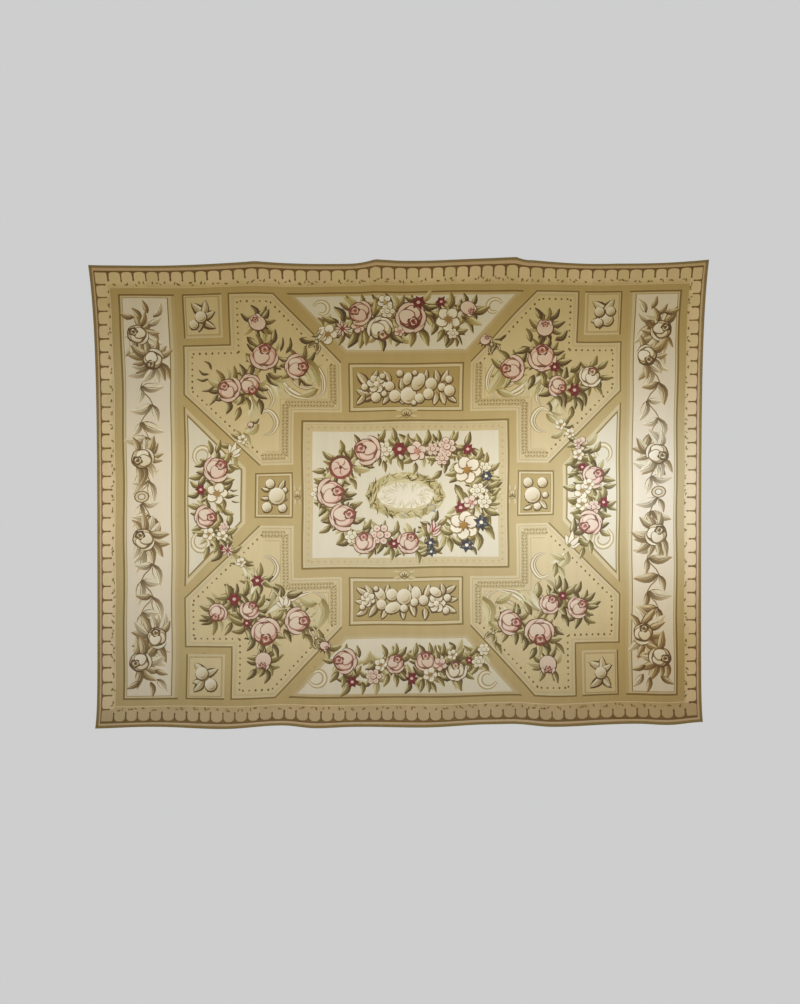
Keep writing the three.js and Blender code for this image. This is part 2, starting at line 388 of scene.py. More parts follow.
# %% Bands and panels
FRAME_OUTSIDE = (1149.0, 829.0)
CORNER_PANEL = [(698, 804), (523, 804), (260, 527), (260, 327), (450, 327), (450, 120),
                (588, 120), (880, 400), (880, 599), (698, 599)]
SIDE_GARLAND = [(880, -357), (880, 357), (640, 110), (640, -110)]
END_GARLAND = [(-473, 804), (-245, 556), (245, 556), (473, 804)]
COLUMN = box(904, -804, 1120, 804)
SMALL_SQUARE = box(722, 626, 874, 804)
FRUIT_PANEL = box(-232, 328, 232, 520)
MIDDLE_SQUARE = box(454, -90, 604, 90)
CENTRE = cross_box(420, 295)


def lay_panels():
    weave(on_cloth(cross_box(*FRAME_OUTSIDE)), "gold", main=True, shade=0)
    for outline in mirrored(COLUMN)[1::2]:
        panel(outline, [(0, 0, "shadow"), (0, 7, "tan"), (12, 8, "cream"), (24, 14, "olive"),
                        (28, 16, "pearl")])
    for outline in mirrored(SMALL_SQUARE):
        panel(outline, [(0, 0, "shadow"), (0, 6.5, "cream"), (7, 9.5, "tan"), (13, 13, "shadow"),
                        (14, 14, "field")])
    for outline in mirrored(CORNER_PANEL):
        panel(outline, [(0, 0, "shadow"), (0, 6, "cream"), (8, 15, "tan"), (13, 17, "cream"),
                        (19, 20, "tan"), (21, 21.5, "field")])
    for outline in mirrored(SIDE_GARLAND)[1::2]:
        panel(outline, [(0, 0, "shadow"), (0, 6.5, "cream"), (12, 12, "gold"), (15, 14, "shadow"),
                        (20, 17, "white")])
    for outline in mirrored(END_GARLAND)[:2]:
        panel(outline, [(0, 0, "shadow"), (0, 7, "tan"), (10, 15, "cream"), (13, 16, "gold_dark"),
                        (15, 17, "white")])
    for outline in mirrored(FRUIT_PANEL)[:2]:
        panel(outline, [(0, 0, "shadow"), (5, 6.5, "cream"), (16, 17, "gold_deep"), (20, 20, "umber")])
    for outline in mirrored(MIDDLE_SQUARE)[1::2]:
        panel(outline, [(0, 0, "shadow"), (5, 6, "cream"), (13, 13, "gold_deep"), (16, 16, "umber")])
    panel(CENTRE, [(0, 0, "shadow"), (6, 8, "cream"), (13, 15, "tan"), (15, 17, "straw"),
                   (43, 45, "white")])


# %% [markdown]
# ## The scalloped border
#
# Round the gold frame runs a row of small arches with their heads outwards, like a string
# of petals. Each side of the cloth has its own pitch, and no two arches are quite alike,
# because a weaver counted them by eye. One arch is drawn as distances along the edge and
# in from it, and a loop repeats it round the cloth.

# %% Scallops
Side = namedtuple("Side", "name length pitch line cusp stalk ticks border first last")
SIDES = [
    Side("top", WIDTH, 49.0, (22.5, 28.5), 9.0, 70.0, 77.0, 94.0, 72.0, 63.0),
    Side("hem", WIDTH, 49.0, (18.5, 26.0), 13.0, 61.0, 70.0, 83.0, 70.0, 66.0),
    Side("left", DROP, 54.2, (16.5, 21.0), 5.0, 58.0, 62.0, 71.0, 81.0, 74.0),
    Side("right", DROP, 54.2, (18.5, 21.5), 5.0, 57.0, 62.0, 71.0, 84.0, 80.0),
]
SIDE = {side.name: side for side in SIDES}
STRIPE_EDGE, ARCH_EDGE = 9, 38


def edge_point(side, along_edge, depth):
    return {"top": (along_edge - WIDTH / 2, depth), "hem": (along_edge - WIDTH / 2, DROP - depth),
            "left": (depth - WIDTH / 2, along_edge), "right": (WIDTH / 2 - depth, along_edge)}[side.name]


def edge_patch(side, points, yarn, **more):
    weave([edge_point(side, *point) for point in points], yarn, **more)


def one_arch(side, start, finish):
    inner = side.line[1]
    head = [(start + (finish - start) * t, inner + side.cusp * abs(2 * t - 1) ** 3.2 * 1.3)
            for t in (0.03, 0.09, 0.18, 0.32, 0.5, 0.68, 0.82, 0.91, 0.97)]
    fill = "buff" if side.name == "hem" else "scallop" if dice.random() < 0.6 else "scallop_green"
    edge_patch(side, [(start, side.stalk), *head, (finish, side.stalk), (finish, side.border),
                      (start, side.border)],
               fill, toward="gold", shade=0.05,
               axis=(*edge_point(side, start, side.stalk + 4), *edge_point(side, start, side.border + 16)))


def stalk(side, place):
    """The dark bar between two arches: thick where it leaves the line, blunt at its end."""
    wide = dice.uniform(3.2, 4.8)
    top, end = side.line[1] - 2, side.stalk + dice.uniform(-4, 6)
    edge_patch(side, [(place - 1.9 * wide, top), (place - wide, top + 9), (place - 0.75 * wide, end - 14),
                      (place - 1.05 * wide, end - 5), (place, end), (place + wide, end - 6),
                      (place + 0.6 * wide, end - 14), (place + wide, top + 9), (place + 1.8 * wide, top)],
               "line", shade=0.15)


def arch_ticks(side, start, finish):
    """The small olive commas at the foot of an arch."""
    middle = (start + finish) / 2
    for shift, wide, chance in ((0, 8.5, 1.0), (-12, 5.5, 0.5), (12, 5.5, 0.5)):
        if dice.random() < chance:
            s, d = middle + shift + dice.uniform(-5, 5), side.ticks + dice.uniform(-5, 6)
            lean = dice.choice((-60, -25, 0, 30, 70)) + dice.uniform(-15, 15)
            shape = put(blade(dice.uniform(13, 19), wide, 0.15, 3), *step_from(s, d, lean, -8), lean)
            edge_patch(side, shape, dice.choice(("olive", "gold_deep", "line")), toward="olive",
                       axis=(*edge_point(side, s - 5, d), *edge_point(side, s + 8, d)), shade=0.15)


def lay_border():
    # Three rectangles give the plain stripe, the dark line and the ground of the arches.
    weave(box(STRIPE_EDGE - WIDTH / 2, STRIPE_EDGE, WIDTH / 2 - STRIPE_EDGE, DROP - STRIPE_EDGE), "stripe",
          main=True, shade=0)
    weave(box(SIDE["left"].line[0] - WIDTH / 2, SIDE["top"].line[0], WIDTH / 2 - SIDE["right"].line[0],
              DROP - SIDE["hem"].line[0]), "line", main=True, shade=0)
    weave(box(ARCH_EDGE - WIDTH / 2, ARCH_EDGE, WIDTH / 2 - ARCH_EDGE, DROP - ARCH_EDGE), "scallop",
          main=True, shade=0)
    for upright, across in ((SIDE["left"], -1), (SIDE["right"], 1)):
        for level in (SIDE["top"], SIDE["hem"]):
            top = level.name == "top"
            square = box(upright.line[1], level.line[1] + 2, level.first if across < 0 else level.last,
                         upright.first if top else upright.last)
            weave([(across * (WIDTH / 2 - a), b if top else DROP - b) for a, b in square], "scallop" if top
                  else "buff")
    for side in SIDES:
        run = side.length - side.first - side.last
        count = round(run / side.pitch)
        stops = [side.first + run * index / count + (dice.uniform(-2, 2) if 0 < index < count else 0)
                 for index in range(count + 1)]
        for start, finish in zip(stops, stops[1:]):
            one_arch(side, start, finish)
            arch_ticks(side, start, finish)
        for place in stops:
            stalk(side, place)


# %% [markdown]
# ## Dots and ticks along the mouldings
#
# The corner panels carry a row of small dots inside their outer sides and two rows of
# zigzag ticks inside their inner sides. Both repeat at an even step along a line, so a
# helper walks the line and lays one small patch at each step.

# %% Dots and ticks
DOT_STEP, DOT_DEPTH, TICK_STEP = 24.5, 35.0, 12.5
BAND_DEPTH, BAND_SIZE, LINE_DEPTH = 33, 23.0, 56
OUTER_SIDES, INNER_SIDES = (0, 1, 6, 7, 8, 9), (2, 3, 4, 5)      # of a corner panel, by their first corner


def walk(start, finish, step, margin=0.0):
    """Points at an even step from start to finish, and the heading of the line."""
    length = math.dist(start, finish)
    heading = math.degrees(math.atan2(finish[1] - start[1], finish[0] - start[0]))
    count = max(int((length - 2 * margin) / step), 1)
    first = (length - count * step) / 2
    return [step_from(*start, heading, first + step * index) for index in range(count + 1)], heading


def dot_row(start, finish):
    for u, v in on_cloth(walk(start, finish, DOT_STEP, 4)[0]):
        size = dice.uniform(3.6, 4.8)
        weave(circle(u, v, size, size * dice.uniform(0.9, 1.3), 6, start=dice.uniform(0, 60)), "dot",
              shade=0.2)


def zigzag(start, finish):
    """An interlaced band: two rows of dark ticks that lean against each other on a pale strip."""
    stroke(on_cloth([start, finish]), BAND_SIZE * 1.3, "tan", tip=1.0, steps=6)
    spots, heading = walk(start, finish, TICK_STEP)
    for index, spot in enumerate(spots):
        for side, lean in ((-1, 48), (1, -48)):
            u, v = on_cloth([step_from(*spot, heading + 90 * side, BAND_SIZE * 0.3)])[0]
            turn = heading + lean * (1 if index % 2 else -1) + dice.uniform(-14, 14)
            weave(put(blade(14, 4.6, 0, 2), *step_from(u, v, turn, -7), turn), "olive" if side > 0
                  else "shadow", shade=0.2)
        weave(put(blade(9, 4.6, 0, 2), *on_cloth([spot])[0], heading + 20), "cream")


def soft_dots(outline, depth, step):
    """A faint row of blots inside a moulding."""
    rim = inset(outline, depth)
    for start, finish in zip(rim, rim[1:] + rim[:1]):
        for u, v in on_cloth(walk(start, finish, step, 6)[0]):
            weave(circle(u, v, dice.uniform(4, 6.5), dice.uniform(4, 6), 7, start=dice.uniform(0, 50)),
                  "tan", shade=0.05)


def lay_corner_trim():
    for outline in mirrored(CORNER_PANEL):
        rim, band = inset(outline, DOT_DEPTH), inset(outline, BAND_DEPTH)
        inner = on_cloth(inset(outline, LINE_DEPTH))
        for corner in OUTER_SIDES:
            dot_row(rim[corner], rim[(corner + 1) % len(rim)])
        for corner in INNER_SIDES:
            zigzag(band[corner], band[corner + 1])
        for start, finish in [inner[corner:corner + 2] for corner in INNER_SIDES]:
            stroke([start, finish], 6.0, "cream", tip=0.9, steps=8)
            stroke([step_from(*start, 45, 4.4), step_from(*finish, 45, 4.4)], 2.2, "gold_dark", tip=0.9,
                   steps=8)
    soft_dots(CENTRE, 29, 26)


# %% Lay the ground of the pattern
lay_border()
lay_panels()
lay_corner_trim()
print("patches so far:", len(patches))

# %% [markdown]
# ## Flowers and leaves
#
# The garlands are built from stock flowers, as a cartoon painter's pattern book has
# them: roses, buds, stars, anemones, posies, lilies and leaves. Each is a short
# function that lays a few patches at u, v with a size and a heading. A dark outline is
# a larger patch under a lighter one that lies a little up and to the left of it, so the
# line is heavier below, as the dyer's shadow side is in the real cloth.

# %% Leaves
GREENS = ("moss", "olive", "sage")
PALE_GREENS = ("olive", "sage", "pale_leaf")
DEEP_GREENS = ("bark", "moss", "sage")
SEPIAS = ("bark", "russet", "biscuit")


def leaf(u, v, length, heading, width=0.42, bend=0.07, yarns=GREENS):
    """A leaf whose middle is at u, v: dark at its stalk and on one side, light at its tip."""
    line, dark, light = yarns
    broad = width * length
    base = step_from(u, v, heading, -length / 2)
    tip = step_from(u, v, heading, length / 2)
    turn = math.radians(heading + 90)
    side = 1 if math.cos(turn) + math.sin(turn) > 0 else -1
    bend *= side * dice.uniform(0.0, 1.7)
    weave(put(blade(length, broad, bend, 5), *base, heading), line, dark, (*base, *tip), shade=0.12)
    lit = step_from(*step_from(*base, heading, 0.1 * length), heading + 90 * side, -0.13 * broad)
    weave(put(blade(0.84 * length, 0.54 * broad, bend, 4), *lit, heading), dark, light, (*base, *tip),
          shade=0.1)
    lit = step_from(*step_from(*lit, heading, 0.14 * length), heading + 90 * side, -0.1 * broad)
    weave(put(blade(0.62 * length, 0.3 * broad, bend, 3), *lit, heading), light, "pale_leaf", (*base, *tip))
    if length > 40:
        weave(put(blade(0.8 * length, 2.8, bend * 1.1, 2), *step_from(*base, heading, 0.08 * length),
                  heading), line)


# The same leaf, broader, thinner, paler or darker. An open leaf is a line round pale wool.
LEAVES = {
    "leaf": leaf, "pale_leaf": partial(leaf, width=0.4, bend=0.1, yarns=PALE_GREENS),
    "deep_leaf": partial(leaf, width=0.44, bend=0.08, yarns=DEEP_GREENS),
    "thin_leaf": partial(leaf, width=0.24, bend=0.12, yarns=DEEP_GREENS),
    "sepia_leaf": partial(leaf, width=0.38, bend=0.06, yarns=SEPIAS),
    "open_leaf": partial(leaf, yarns=("bark", "biscuit", "ivory"))}

# %% Roses and buds
ROSES = ("wine", "crimson", "rose", "petal", "blush")
RED_ROSES = ("wine", "ruby", "crimson", "petal", "blush")
SEPIA_ROSES = ("bark", "bark", "russet", "biscuit", "ivory")
CREAM_ROSES = ("bark", "crimson", "sage", "blush", "ivory")


def lobe(u, v, size, turn, line, near, far):
    """One outlined round petal; near is its yarn at the flower's middle."""
    weave(circle(u, v, size, 0.92 * size, 10, 3, 0.06, turn), line)
    weave(circle(u - 0.7, v - 1.1, 0.84 * size, 0.76 * size, 9, 3, 0.06, turn), near, far,
          (*step_from(u, v, turn, -0.8 * size), *step_from(u, v, turn, 0.5 * size)))


COLLAR = (180, 128, 232)


def rose(u, v, size, heading, tones=ROSES, collar=COLLAR, bowl=0.9):
    """A rose in side view, with its collar petals behind the bowl. heading points to its heart."""
    line, _, middle, light, pale = tones
    for turn in collar:
        turn += heading + dice.uniform(-10, 10)
        reach = size * dice.uniform(0.92, 1.04)
        arc = [step_from(u, v, turn + spread, reach) for spread in (-44, -24, 0, 24, 44)]
        stroke(arc, 0.46 * size, line, tip=0.2, steps=2)
        stroke(arc, 0.28 * size, pale, light, tip=0.2, steps=2)
    wide, tall = bowl * size, 0.95 * bowl * size
    weave(circle(u, v, wide, tall, 18, 5, 0.035, heading), line, shade=0.12)
    weave(circle(u - 0.8, v - 1.7, wide - 5.4, tall - 5.6, 18, 5, 0.05, heading), light, middle,
          (u - 0.3 * size, v - 0.3 * size, u + 0.7 * size, v + 1.2 * size))
    first = dice.choice((-1, 1))
    for side in (first, -first):
        spot = step_from(*step_from(u, v, heading + 180, 0.2 * size), heading + 90 * side, 0.23 * size)
        turn = heading + 40 * side
        weave(circle(*spot, 0.62 * size, 0.57 * size, 14, 3, 0.05, turn), line, middle,
              (*step_from(*spot, heading, -size), *step_from(*spot, heading, 0.5 * size)))
        weave(circle(spot[0] - 0.8, spot[1] - 1.2, 0.62 * size - 4.6, 0.57 * size - 4.6, 14, 3, 0.07,
                     turn), pale, light,
              (u - 0.4 * size, v - 0.4 * size, u + 0.7 * size, v + 0.9 * size))
    rose_heart(*step_from(u, v, heading, 0.4 * size), 0.46 * size, heading, tones)


def rose_heart(u, v, size, heading, tones):
    """The rolled petals in the middle of a rose, as dark curls on a rose ground."""
    line, deep, middle, light, pale = tones
    weave(circle(u, v, size, 0.86 * size, 14, 5, 0.16, heading), line, deep,
          (u, v, *step_from(u, v, heading, size)))
    weave(circle(u - 0.5, v - 0.6, 0.74 * size, 0.6 * size, 12, 4, 0.2, heading + 30), deep, middle,
          (u, v - 0.5 * size, u, v + 0.6 * size))
    curls = ((0.62, 54, 175, 0.24, light), (0.4, 62, 50, 0.2, pale), (0.42, 56, 295, 0.2, light),
             (0.12, 90, 180, 0.26, line))
    for reach, spread, turn, wide, yarn in curls:
        turn += heading + dice.uniform(-18, 18)
        curl = [step_from(u, v, turn + part, reach * size) for part in (-spread, 0, spread)]
        stroke(curl, wide * size, yarn, tip=0.3, steps=3)


def sepia_rose(u, v, size, heading):
    rose(u, v, 1.05 * size, heading, SEPIA_ROSES, (180,), 0.92)


def bud(u, v, size, heading):
    """A half-open bud: a round cup, its heart at the mouth, and a calyx below."""
    line, _, _, light, pale = ROSES
    for turn in (150, 180, 210):
        weave(put(blade(0.8 * size, 0.24 * size, 0.1, 3), *step_from(u, v, heading + turn, 0.6 * size),
                  heading + turn), "moss")
    weave(circle(u, v, size, 0.88 * size, 16, 2, 0.05, heading), line)
    weave(circle(u - 1, v - 1.8, size - 4.2, 0.88 * size - 4, 16, 2, 0.05, heading), pale, light,
          (*step_from(u, v, heading, -size), *step_from(u, v, heading, size)))
    for side in (-1, 1):
        spot = step_from(*step_from(u, v, heading, 0.55 * size), heading + 90 * side, 0.5 * size)
        lean = heading - 18 * side
        weave(put(blade(0.8 * size, 0.44 * size, 0.1 * side, 4), *step_from(*spot, lean, -0.3 * size),
                  lean), line)
        weave(put(blade(0.66 * size, 0.26 * size, 0.1 * side, 4), *step_from(*spot, lean, -0.28 * size),
                  lean), pale)
    rose_heart(*step_from(u, v, heading, 0.45 * size), 0.36 * size, heading, ROSES)


ROSE_KINDS = {
    "rose": rose, "cream_rose": partial(rose, tones=CREAM_ROSES), "sepia_rose": sepia_rose, "bud": bud,
    "open_rose": partial(rose, tones=RED_ROSES, collar=(0, 60, 120, 180, 240, 300), bowl=0.82)}


# %% Open flowers
def star(u, v, size, heading, tones=("ruby", "crimson", "petal")):
    """A small dark flower with ragged petals and a light eye."""
    rim, middle, eye = tones
    points = []
    for index in range(12):
        reach = size * (dice.uniform(0.95, 1.2) if index % 2 == 0 else dice.uniform(0.6, 0.75))
        points.append(step_from(u, v, heading + 30.0 * index, reach))
    weave(points, rim, shade=0.1)
    for index in range(3):
        turn = heading + 120 * index + dice.uniform(-25, 25)
        weave(put(blade(0.62 * size, 0.3 * size, 0.2, 3), *step_from(u, v, turn, 0.25 * size), turn),
              middle, rim, (u, v, *step_from(u, v, turn, size)))
    weave(circle(u - 0.5, v - 0.5, 0.27 * size, 0.24 * size, 7, start=heading), eye)


def spray_star(u, v, size, heading):
    """A ragged flower of narrow pale petals round a dark red eye."""
    for index in range(8):
        turn = heading + 45 * index + dice.uniform(-8, 8)
        weave(put(blade(size, 0.42 * size, 0, 3), *step_from(u, v, turn, 0.1 * size), turn), "wine")
        weave(put(blade(0.85 * size, 0.24 * size, 0, 3), *step_from(u, v, turn, 0.14 * size), turn),
              "petal", "blush", (u, v, *step_from(u, v, turn, size)))
    weave(circle(u, v, 0.3 * size, sides=8, lumps=4, depth=0.2), "crimson")


def open_flower(u, v, size, heading, petals=5, line="olive", petal=("ivory", "blush"),
                eye=("amber", "bark")):
    """A flat flower: round petals about a fuzzy eye."""
    for index in range(petals):
        turn = heading + 360 / petals * index + dice.uniform(-7, 7)
        lobe(*step_from(u, v, turn, 0.54 * size), 0.48 * size * dice.uniform(0.95, 1.1), turn, line,
             petal[1], petal[0])
    weave(circle(u, v, 0.3 * size, 0.27 * size, 12, 5, 0.22, heading), eye[0], eye[1],
          (u, v, u + 0.3 * size, v + 0.3 * size))
    for index in range(6):
        turn = heading + 60 * index + dice.uniform(-15, 15)
        weave(put(blade(0.24 * size, 0.09 * size, 0, 2), *step_from(u, v, turn, 0.2 * size), turn), eye[1])


def red_flower(u, v, size, heading):
    """A pale flower on a ragged ruff of dark red."""
    weave(circle(u, v, 1.2 * size, 1.15 * size, 26, 12, 0.06, heading), "wine", "crimson",
          (u, v - size, u, v + size))
    weave(circle(u, v, 0.9 * size, 0.87 * size, 16, 4, 0.03, heading), "blush", "petal",
          (u, v - size, u, v + size))
    for index in range(5):
        turn = heading + 72 * index + dice.uniform(-12, 12)
        fold = [step_from(u, v, turn, 0.2 * size), step_from(u, v, turn + 14, 0.5 * size),
                step_from(u, v, turn - 4, 0.78 * size)]
        stroke(fold, 0.13 * size, "crimson", "rose", tip=0.3, steps=3)
    weave(circle(u, v, 0.2 * size, sides=7, lumps=3, depth=0.3), "wine")


def posy(u, v, size, heading, line="wine", petal=("petal", "blush"), eye="rose"):
    """A tuft of small round florets."""
    spots = [(0.0, 0.0)] + [(0.62, 60 * index) for index in range(6)]
    for reach, turn in spots[::-1]:
        spot = step_from(u, v, heading + turn, reach * size * dice.uniform(0.9, 1.15))
        lobe(*spot, 0.42 * size, turn, line, *petal)
        weave(circle(*spot, 0.1 * size, sides=5), eye)


def lily(u, v, size, heading, line="olive", petal=("ivory", "white")):
    """Three to four long petals that spread from one point."""
    root = step_from(u, v, heading, -0.7 * size)
    for turn, reach in ((-46, 1.2), (46, 1.2), (-16, 1.6), (18, 1.5)):
        weave(put(blade(reach * size, 0.6 * size, 0.06, 5), *root, heading + turn), line)
        weave(put(blade(0.9 * reach * size, 0.44 * size, 0.06, 5),
                  *step_from(*root, heading + turn, 0.04 * size), heading + turn),
              petal[0], petal[1], (*step_from(*root, heading + turn, size), *root))
    weave(circle(*step_from(*root, heading, 0.12 * size), 0.2 * size, sides=8), "olive")


def tulip(u, v, size, heading):
    """A striped cup of red and white."""
    lily(u, v, size, heading, "wine", ("blush", "petal"))
    root = step_from(u, v, heading, -0.5 * size)
    for turn in (-24, 2, 28):
        weave(put(blade(1.1 * size, 0.15 * size, 0.05, 4), *root, heading + turn), "crimson")


FLOWERS = {
    "star": star, "spray_star": spray_star, "red_flower": red_flower, "posy": posy, "lily": lily,
    "tulip": tulip, "ink_star": partial(star, tones=("ink", "steel", "ivory")),
    "anemone": partial(open_flower, petals=6),
    "open_cream": partial(open_flower, petals=6, line="bark", petal=("ivory", "tan"),
                          eye=("ivory", "russet")),
    "pink_flower": partial(open_flower, line="wine", petal=("blush", "petal"), eye=("rose", "crimson")),
    "white_flower": partial(open_flower, petal=("ivory", "white"), eye=("russet", "amber")),
    "ink_flower": partial(open_flower, line="ink", petal=("ivory", "white"), eye=("sage", "olive")),
    "white_posy": partial(posy, line="olive", petal=("white", "ivory"), eye="sage")}


# %% Fruit, scrolls and ribbons
def fruit(u, v, size, heading, long=1.0):
    """A round or long fruit, lit from above, on its own shadow."""
    weave(put(circle(0, 0, size * long + 2.5, size + 2.5, 12), u + 1.5, v + 2.5, heading), "bark", "sepia",
          (u, v, u + size, v + 1.4 * size), shade=0.12)
    weave(put(circle(0, 0, size * long - 1.2, size - 1.2, 14), u - 0.5, v - 0.8, heading), "ivory", "tan",
          (u - 0.5 * size, v - 0.7 * size, u + 0.5 * size, v + size))
    shadow_side = [step_from(u, v, turn, 0.66 * size) for turn in (-10, 30, 70, 110)]
    stroke(shadow_side, 0.26 * size, "tan", "russet", tip=0.2, steps=2)


def cream_leaf(u, v, length, heading):
    leaf(u + 1.5, v + 2.5, 1.1 * length, heading, 0.46, 0.06, ("bark", "bark", "sepia"))
    leaf(u, v, length, heading, 0.36, 0.06, ("russet", "cream", "ivory"))


def plume(u, v, size, heading):
    """Long pale leaves in a fan, as if swept from the bouquet."""
    leaves = ((-34, "olive", 0.8), (30, "sage", 0.85), (-20, "pale_leaf", 0.95), (12, "olive", 0.9),
              (-6, "cream", 1.05), (20, "ivory", 0.8))
    for turn, yarn, long in leaves:
        lean = heading + turn
        weave(put(blade(long * size, 0.15 * size, 0.12 if turn < 0 else -0.12, 5),
                  *step_from(u, v, lean, 0.05 * size), lean),
              yarn, "pale_leaf", (u, v, *step_from(u, v, lean, size)), shade=0.08)


def scroll(u, v, size, heading, side=1):
    """A curled acanthus band: a light spiral with a deep gold line on both sides."""
    path = []
    for index in range(10):
        t = index / 9
        path.append(step_from(u, v, heading + side * 360 * 0.8 * t, size * (1 - 0.45 * t)))
    for wide, yarn, tip in ((0.52, "gold_deep", 0.5), (0.38, "cream", 0.45), (0.14, "ivory", 0.4)):
        stroke(path, wide * size, yarn, tip=tip, steps=2)


def sepia_ring(u, v, size, heading):
    """The ring that ties a column's two sprays together."""
    for reach, yarn in ((1.0, "sepia"), (0.84, "biscuit"), (0.52, "sepia"), (0.4, "white")):
        weave(circle(u, v, reach * size, 0.85 * reach * size, 14, 2, 0.04, heading), yarn)


def bow(u, v, size, heading):
    """A ribbon's knot: two loops that show the dark field through them, and two tails."""
    for side in (-1, 1):
        tail = [(u, v), step_from(u, v, heading + 180 - 26 * side, 0.7 * size),
                step_from(u, v, heading + 180 - 10 * side, 1.3 * size)]
        stroke(tail, 0.3 * size, "moss", tip=0.4, steps=3)
        stroke(tail, 0.18 * size, "cream", tip=0.4, steps=3)
        lean = heading + 30 * side
        for long, wide, yarn in ((1.25, 0.66, "moss"), (1.15, 0.52, "cream"), (0.95, 0.34, "bark"),
                                 (0.8, 0.2, "olive")):
            start = step_from(u, v, lean, 0.06 * size + 0.1 * size * (1.25 - long))
            weave(put(blade(long * size, wide * size, 0.1 * side, 5, 0.9), *start, lean), yarn)
    weave(circle(u, v, 0.26 * size, sides=9), "moss")
    weave(circle(u - 0.5, v - 0.8, 0.17 * size, sides=9), "cream")


def cartouche(u, v, size, heading):
    """A small palmette between two pale leaves, on a gold band."""
    for turn in (0, 180):
        for lean in (-22, 22):
            spot = step_from(u, v, heading + turn + lean, 0.72 * size)
            leaf(*spot, 0.9 * size, heading + turn + lean * 0.4, 0.34, 0.1, ("gold_deep", "tan", "cream"))
    weave(put(circle(0, 0, 0.5 * size, 0.42 * size, 14, 4, 0.08), u, v, heading), "gold_deep")
    weave(put(circle(0, 0, 0.43 * size, 0.34 * size, 14, 4, 0.08), u - 0.5, v - 0.8, heading), "cream",
          "tan", (u, v - size / 2, u, v + size / 2))
    root = step_from(u, v, 90, 0.24 * size)
    for turn in (-64, -32, 0, 32, 64):
        weave(put(blade(0.5 * size, 0.13 * size, 0.003 * turn, 4), *root, turn - 90), "line", "dot")


def wreath(u, v, across, down, count):
    """An oval of feathery leaves round the bare middle."""
    weave(circle(u, v, across + 2, down + 2, 48, 12, 0.02), "sage")
    weave(circle(u, v, across - 30, down - 27, 48, 12, 0.03), "pale_leaf", "straw",
          (u, v - down, u, v + down))
    weave(circle(u, v, across - 44, down - 38, 40, 10, 0.04), "white", "ivory", (u, v - down, u, v + down))
    for index in range(count // 2):
        turn = math.tau * 2 * index / count + dice.uniform(-0.06, 0.06)
        reach = dice.uniform(0.5, 0.7)
        spot = (u + across * reach * math.cos(turn), v + down * reach * math.sin(turn))
        lean = math.degrees(math.atan2(-math.sin(turn), -math.cos(turn))) + dice.uniform(-40, 40)
        weave(put(blade(dice.uniform(26, 44), dice.uniform(3.5, 6), 0.12, 3), *spot, lean),
              dice.choice(("straw", "sage", "pale_leaf")), "white",
              (*spot, *step_from(*spot, lean, 40)), shade=0.1)
    for index in range(count):
        turn = math.tau * index / count + dice.uniform(-0.05, 0.05)
        reach = dice.uniform(0.78, 1.04)
        spot = (u + across * reach * math.cos(turn), v + down * reach * math.sin(turn))
        along_oval = math.degrees(math.atan2(down * math.cos(turn), -across * math.sin(turn)))
        cool = math.sin(turn) > 0.5 and math.cos(turn) > -0.3
        long, lean = dice.uniform(30, 50), along_oval + dice.choice((-1, 1)) * dice.uniform(14, 52)
        yarn = dice.choice(("steel", "olive", "pale_leaf") if cool
                           else ("moss", "moss", "olive", "gold_deep", "pale_leaf"))
        weave(put(blade(long, dice.uniform(3.6, 6.5), 0.12, 4), *step_from(*spot, lean, -long / 2), lean),
              yarn, "sage", (*spot, *step_from(*spot, lean, long / 2)), shade=0.1)


MOTIFS = LEAVES | ROSE_KINDS | FLOWERS | {
    "fruit": fruit, "long_fruit": partial(fruit, long=1.55), "cream_leaf": cream_leaf, "plume": plume,
    "scroll": scroll, "scroll_back": partial(scroll, side=-1), "sepia_ring": sepia_ring, "bow": bow,
    "cartouche": cartouche}
FOLIAGE = ("leaf", "pale_leaf", "deep_leaf", "leaf", "deep_leaf")
UNDERLYING = ("scroll", "scroll_back", "bow", "cartouche", "sepia_ring", "plume")
BARE = UNDERLYING + ("fruit", "long_fruit")


def is_leaf(kind):
    return kind.endswith("leaf")


def lay_shade(rows):
    """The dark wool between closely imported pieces."""
    for kind, u, v, size, heading in rows:
        if kind == "cartouche":
            continue
        wide = size * (0.62 if is_leaf(kind) else 1.5 if kind == "long_fruit" else 1.0) + 5
        tall = size * (0.3 if is_leaf(kind) else 1.0) + 5
        weave(put(circle(0, 0, wide, tall, 9, 3, 0.1), u + 1, v + 3, heading), "bark", "sepia",
              (u, v, u + size, v + size), shade=0.15)


def inside(outline, u, v):
    """Whether a point lies inside an outline; with no outline, every point does."""
    crossings = 0
    for (a, b), (c, d) in zip(outline, outline[1:] + outline[:1]):
        if (b > v) != (d > v) and u < a + (c - a) * (v - b) / (d - b):
            crossings += 1
    return crossings % 2 == 1 or not outline


def spray(u, v, size, count, length, within=(), foliage=FOLIAGE):
    """Leaves that radiate from behind a flower, as long as their tips stay within the panel."""
    first = dice.uniform(0, 360)
    for index in range(count):
        turn = first + 360 / count * index + dice.uniform(-14, 14)
        long = length * dice.uniform(0.8, 1.2)
        if inside(within, *step_from(u, v, turn, 0.6 * size + 0.9 * long)):
            spot = step_from(u, v, turn, 0.6 * size + 0.4 * long)
            MOTIFS[dice.choice(foliage)](*spot, long, turn + dice.uniform(-22, 22))


def laying_order(row):
    """Scrolls and ribbons come first, then leaves, then flowers and fruit."""
    return 0 if row[0] in UNDERLYING else 1 if is_leaf(row[0]) else 2


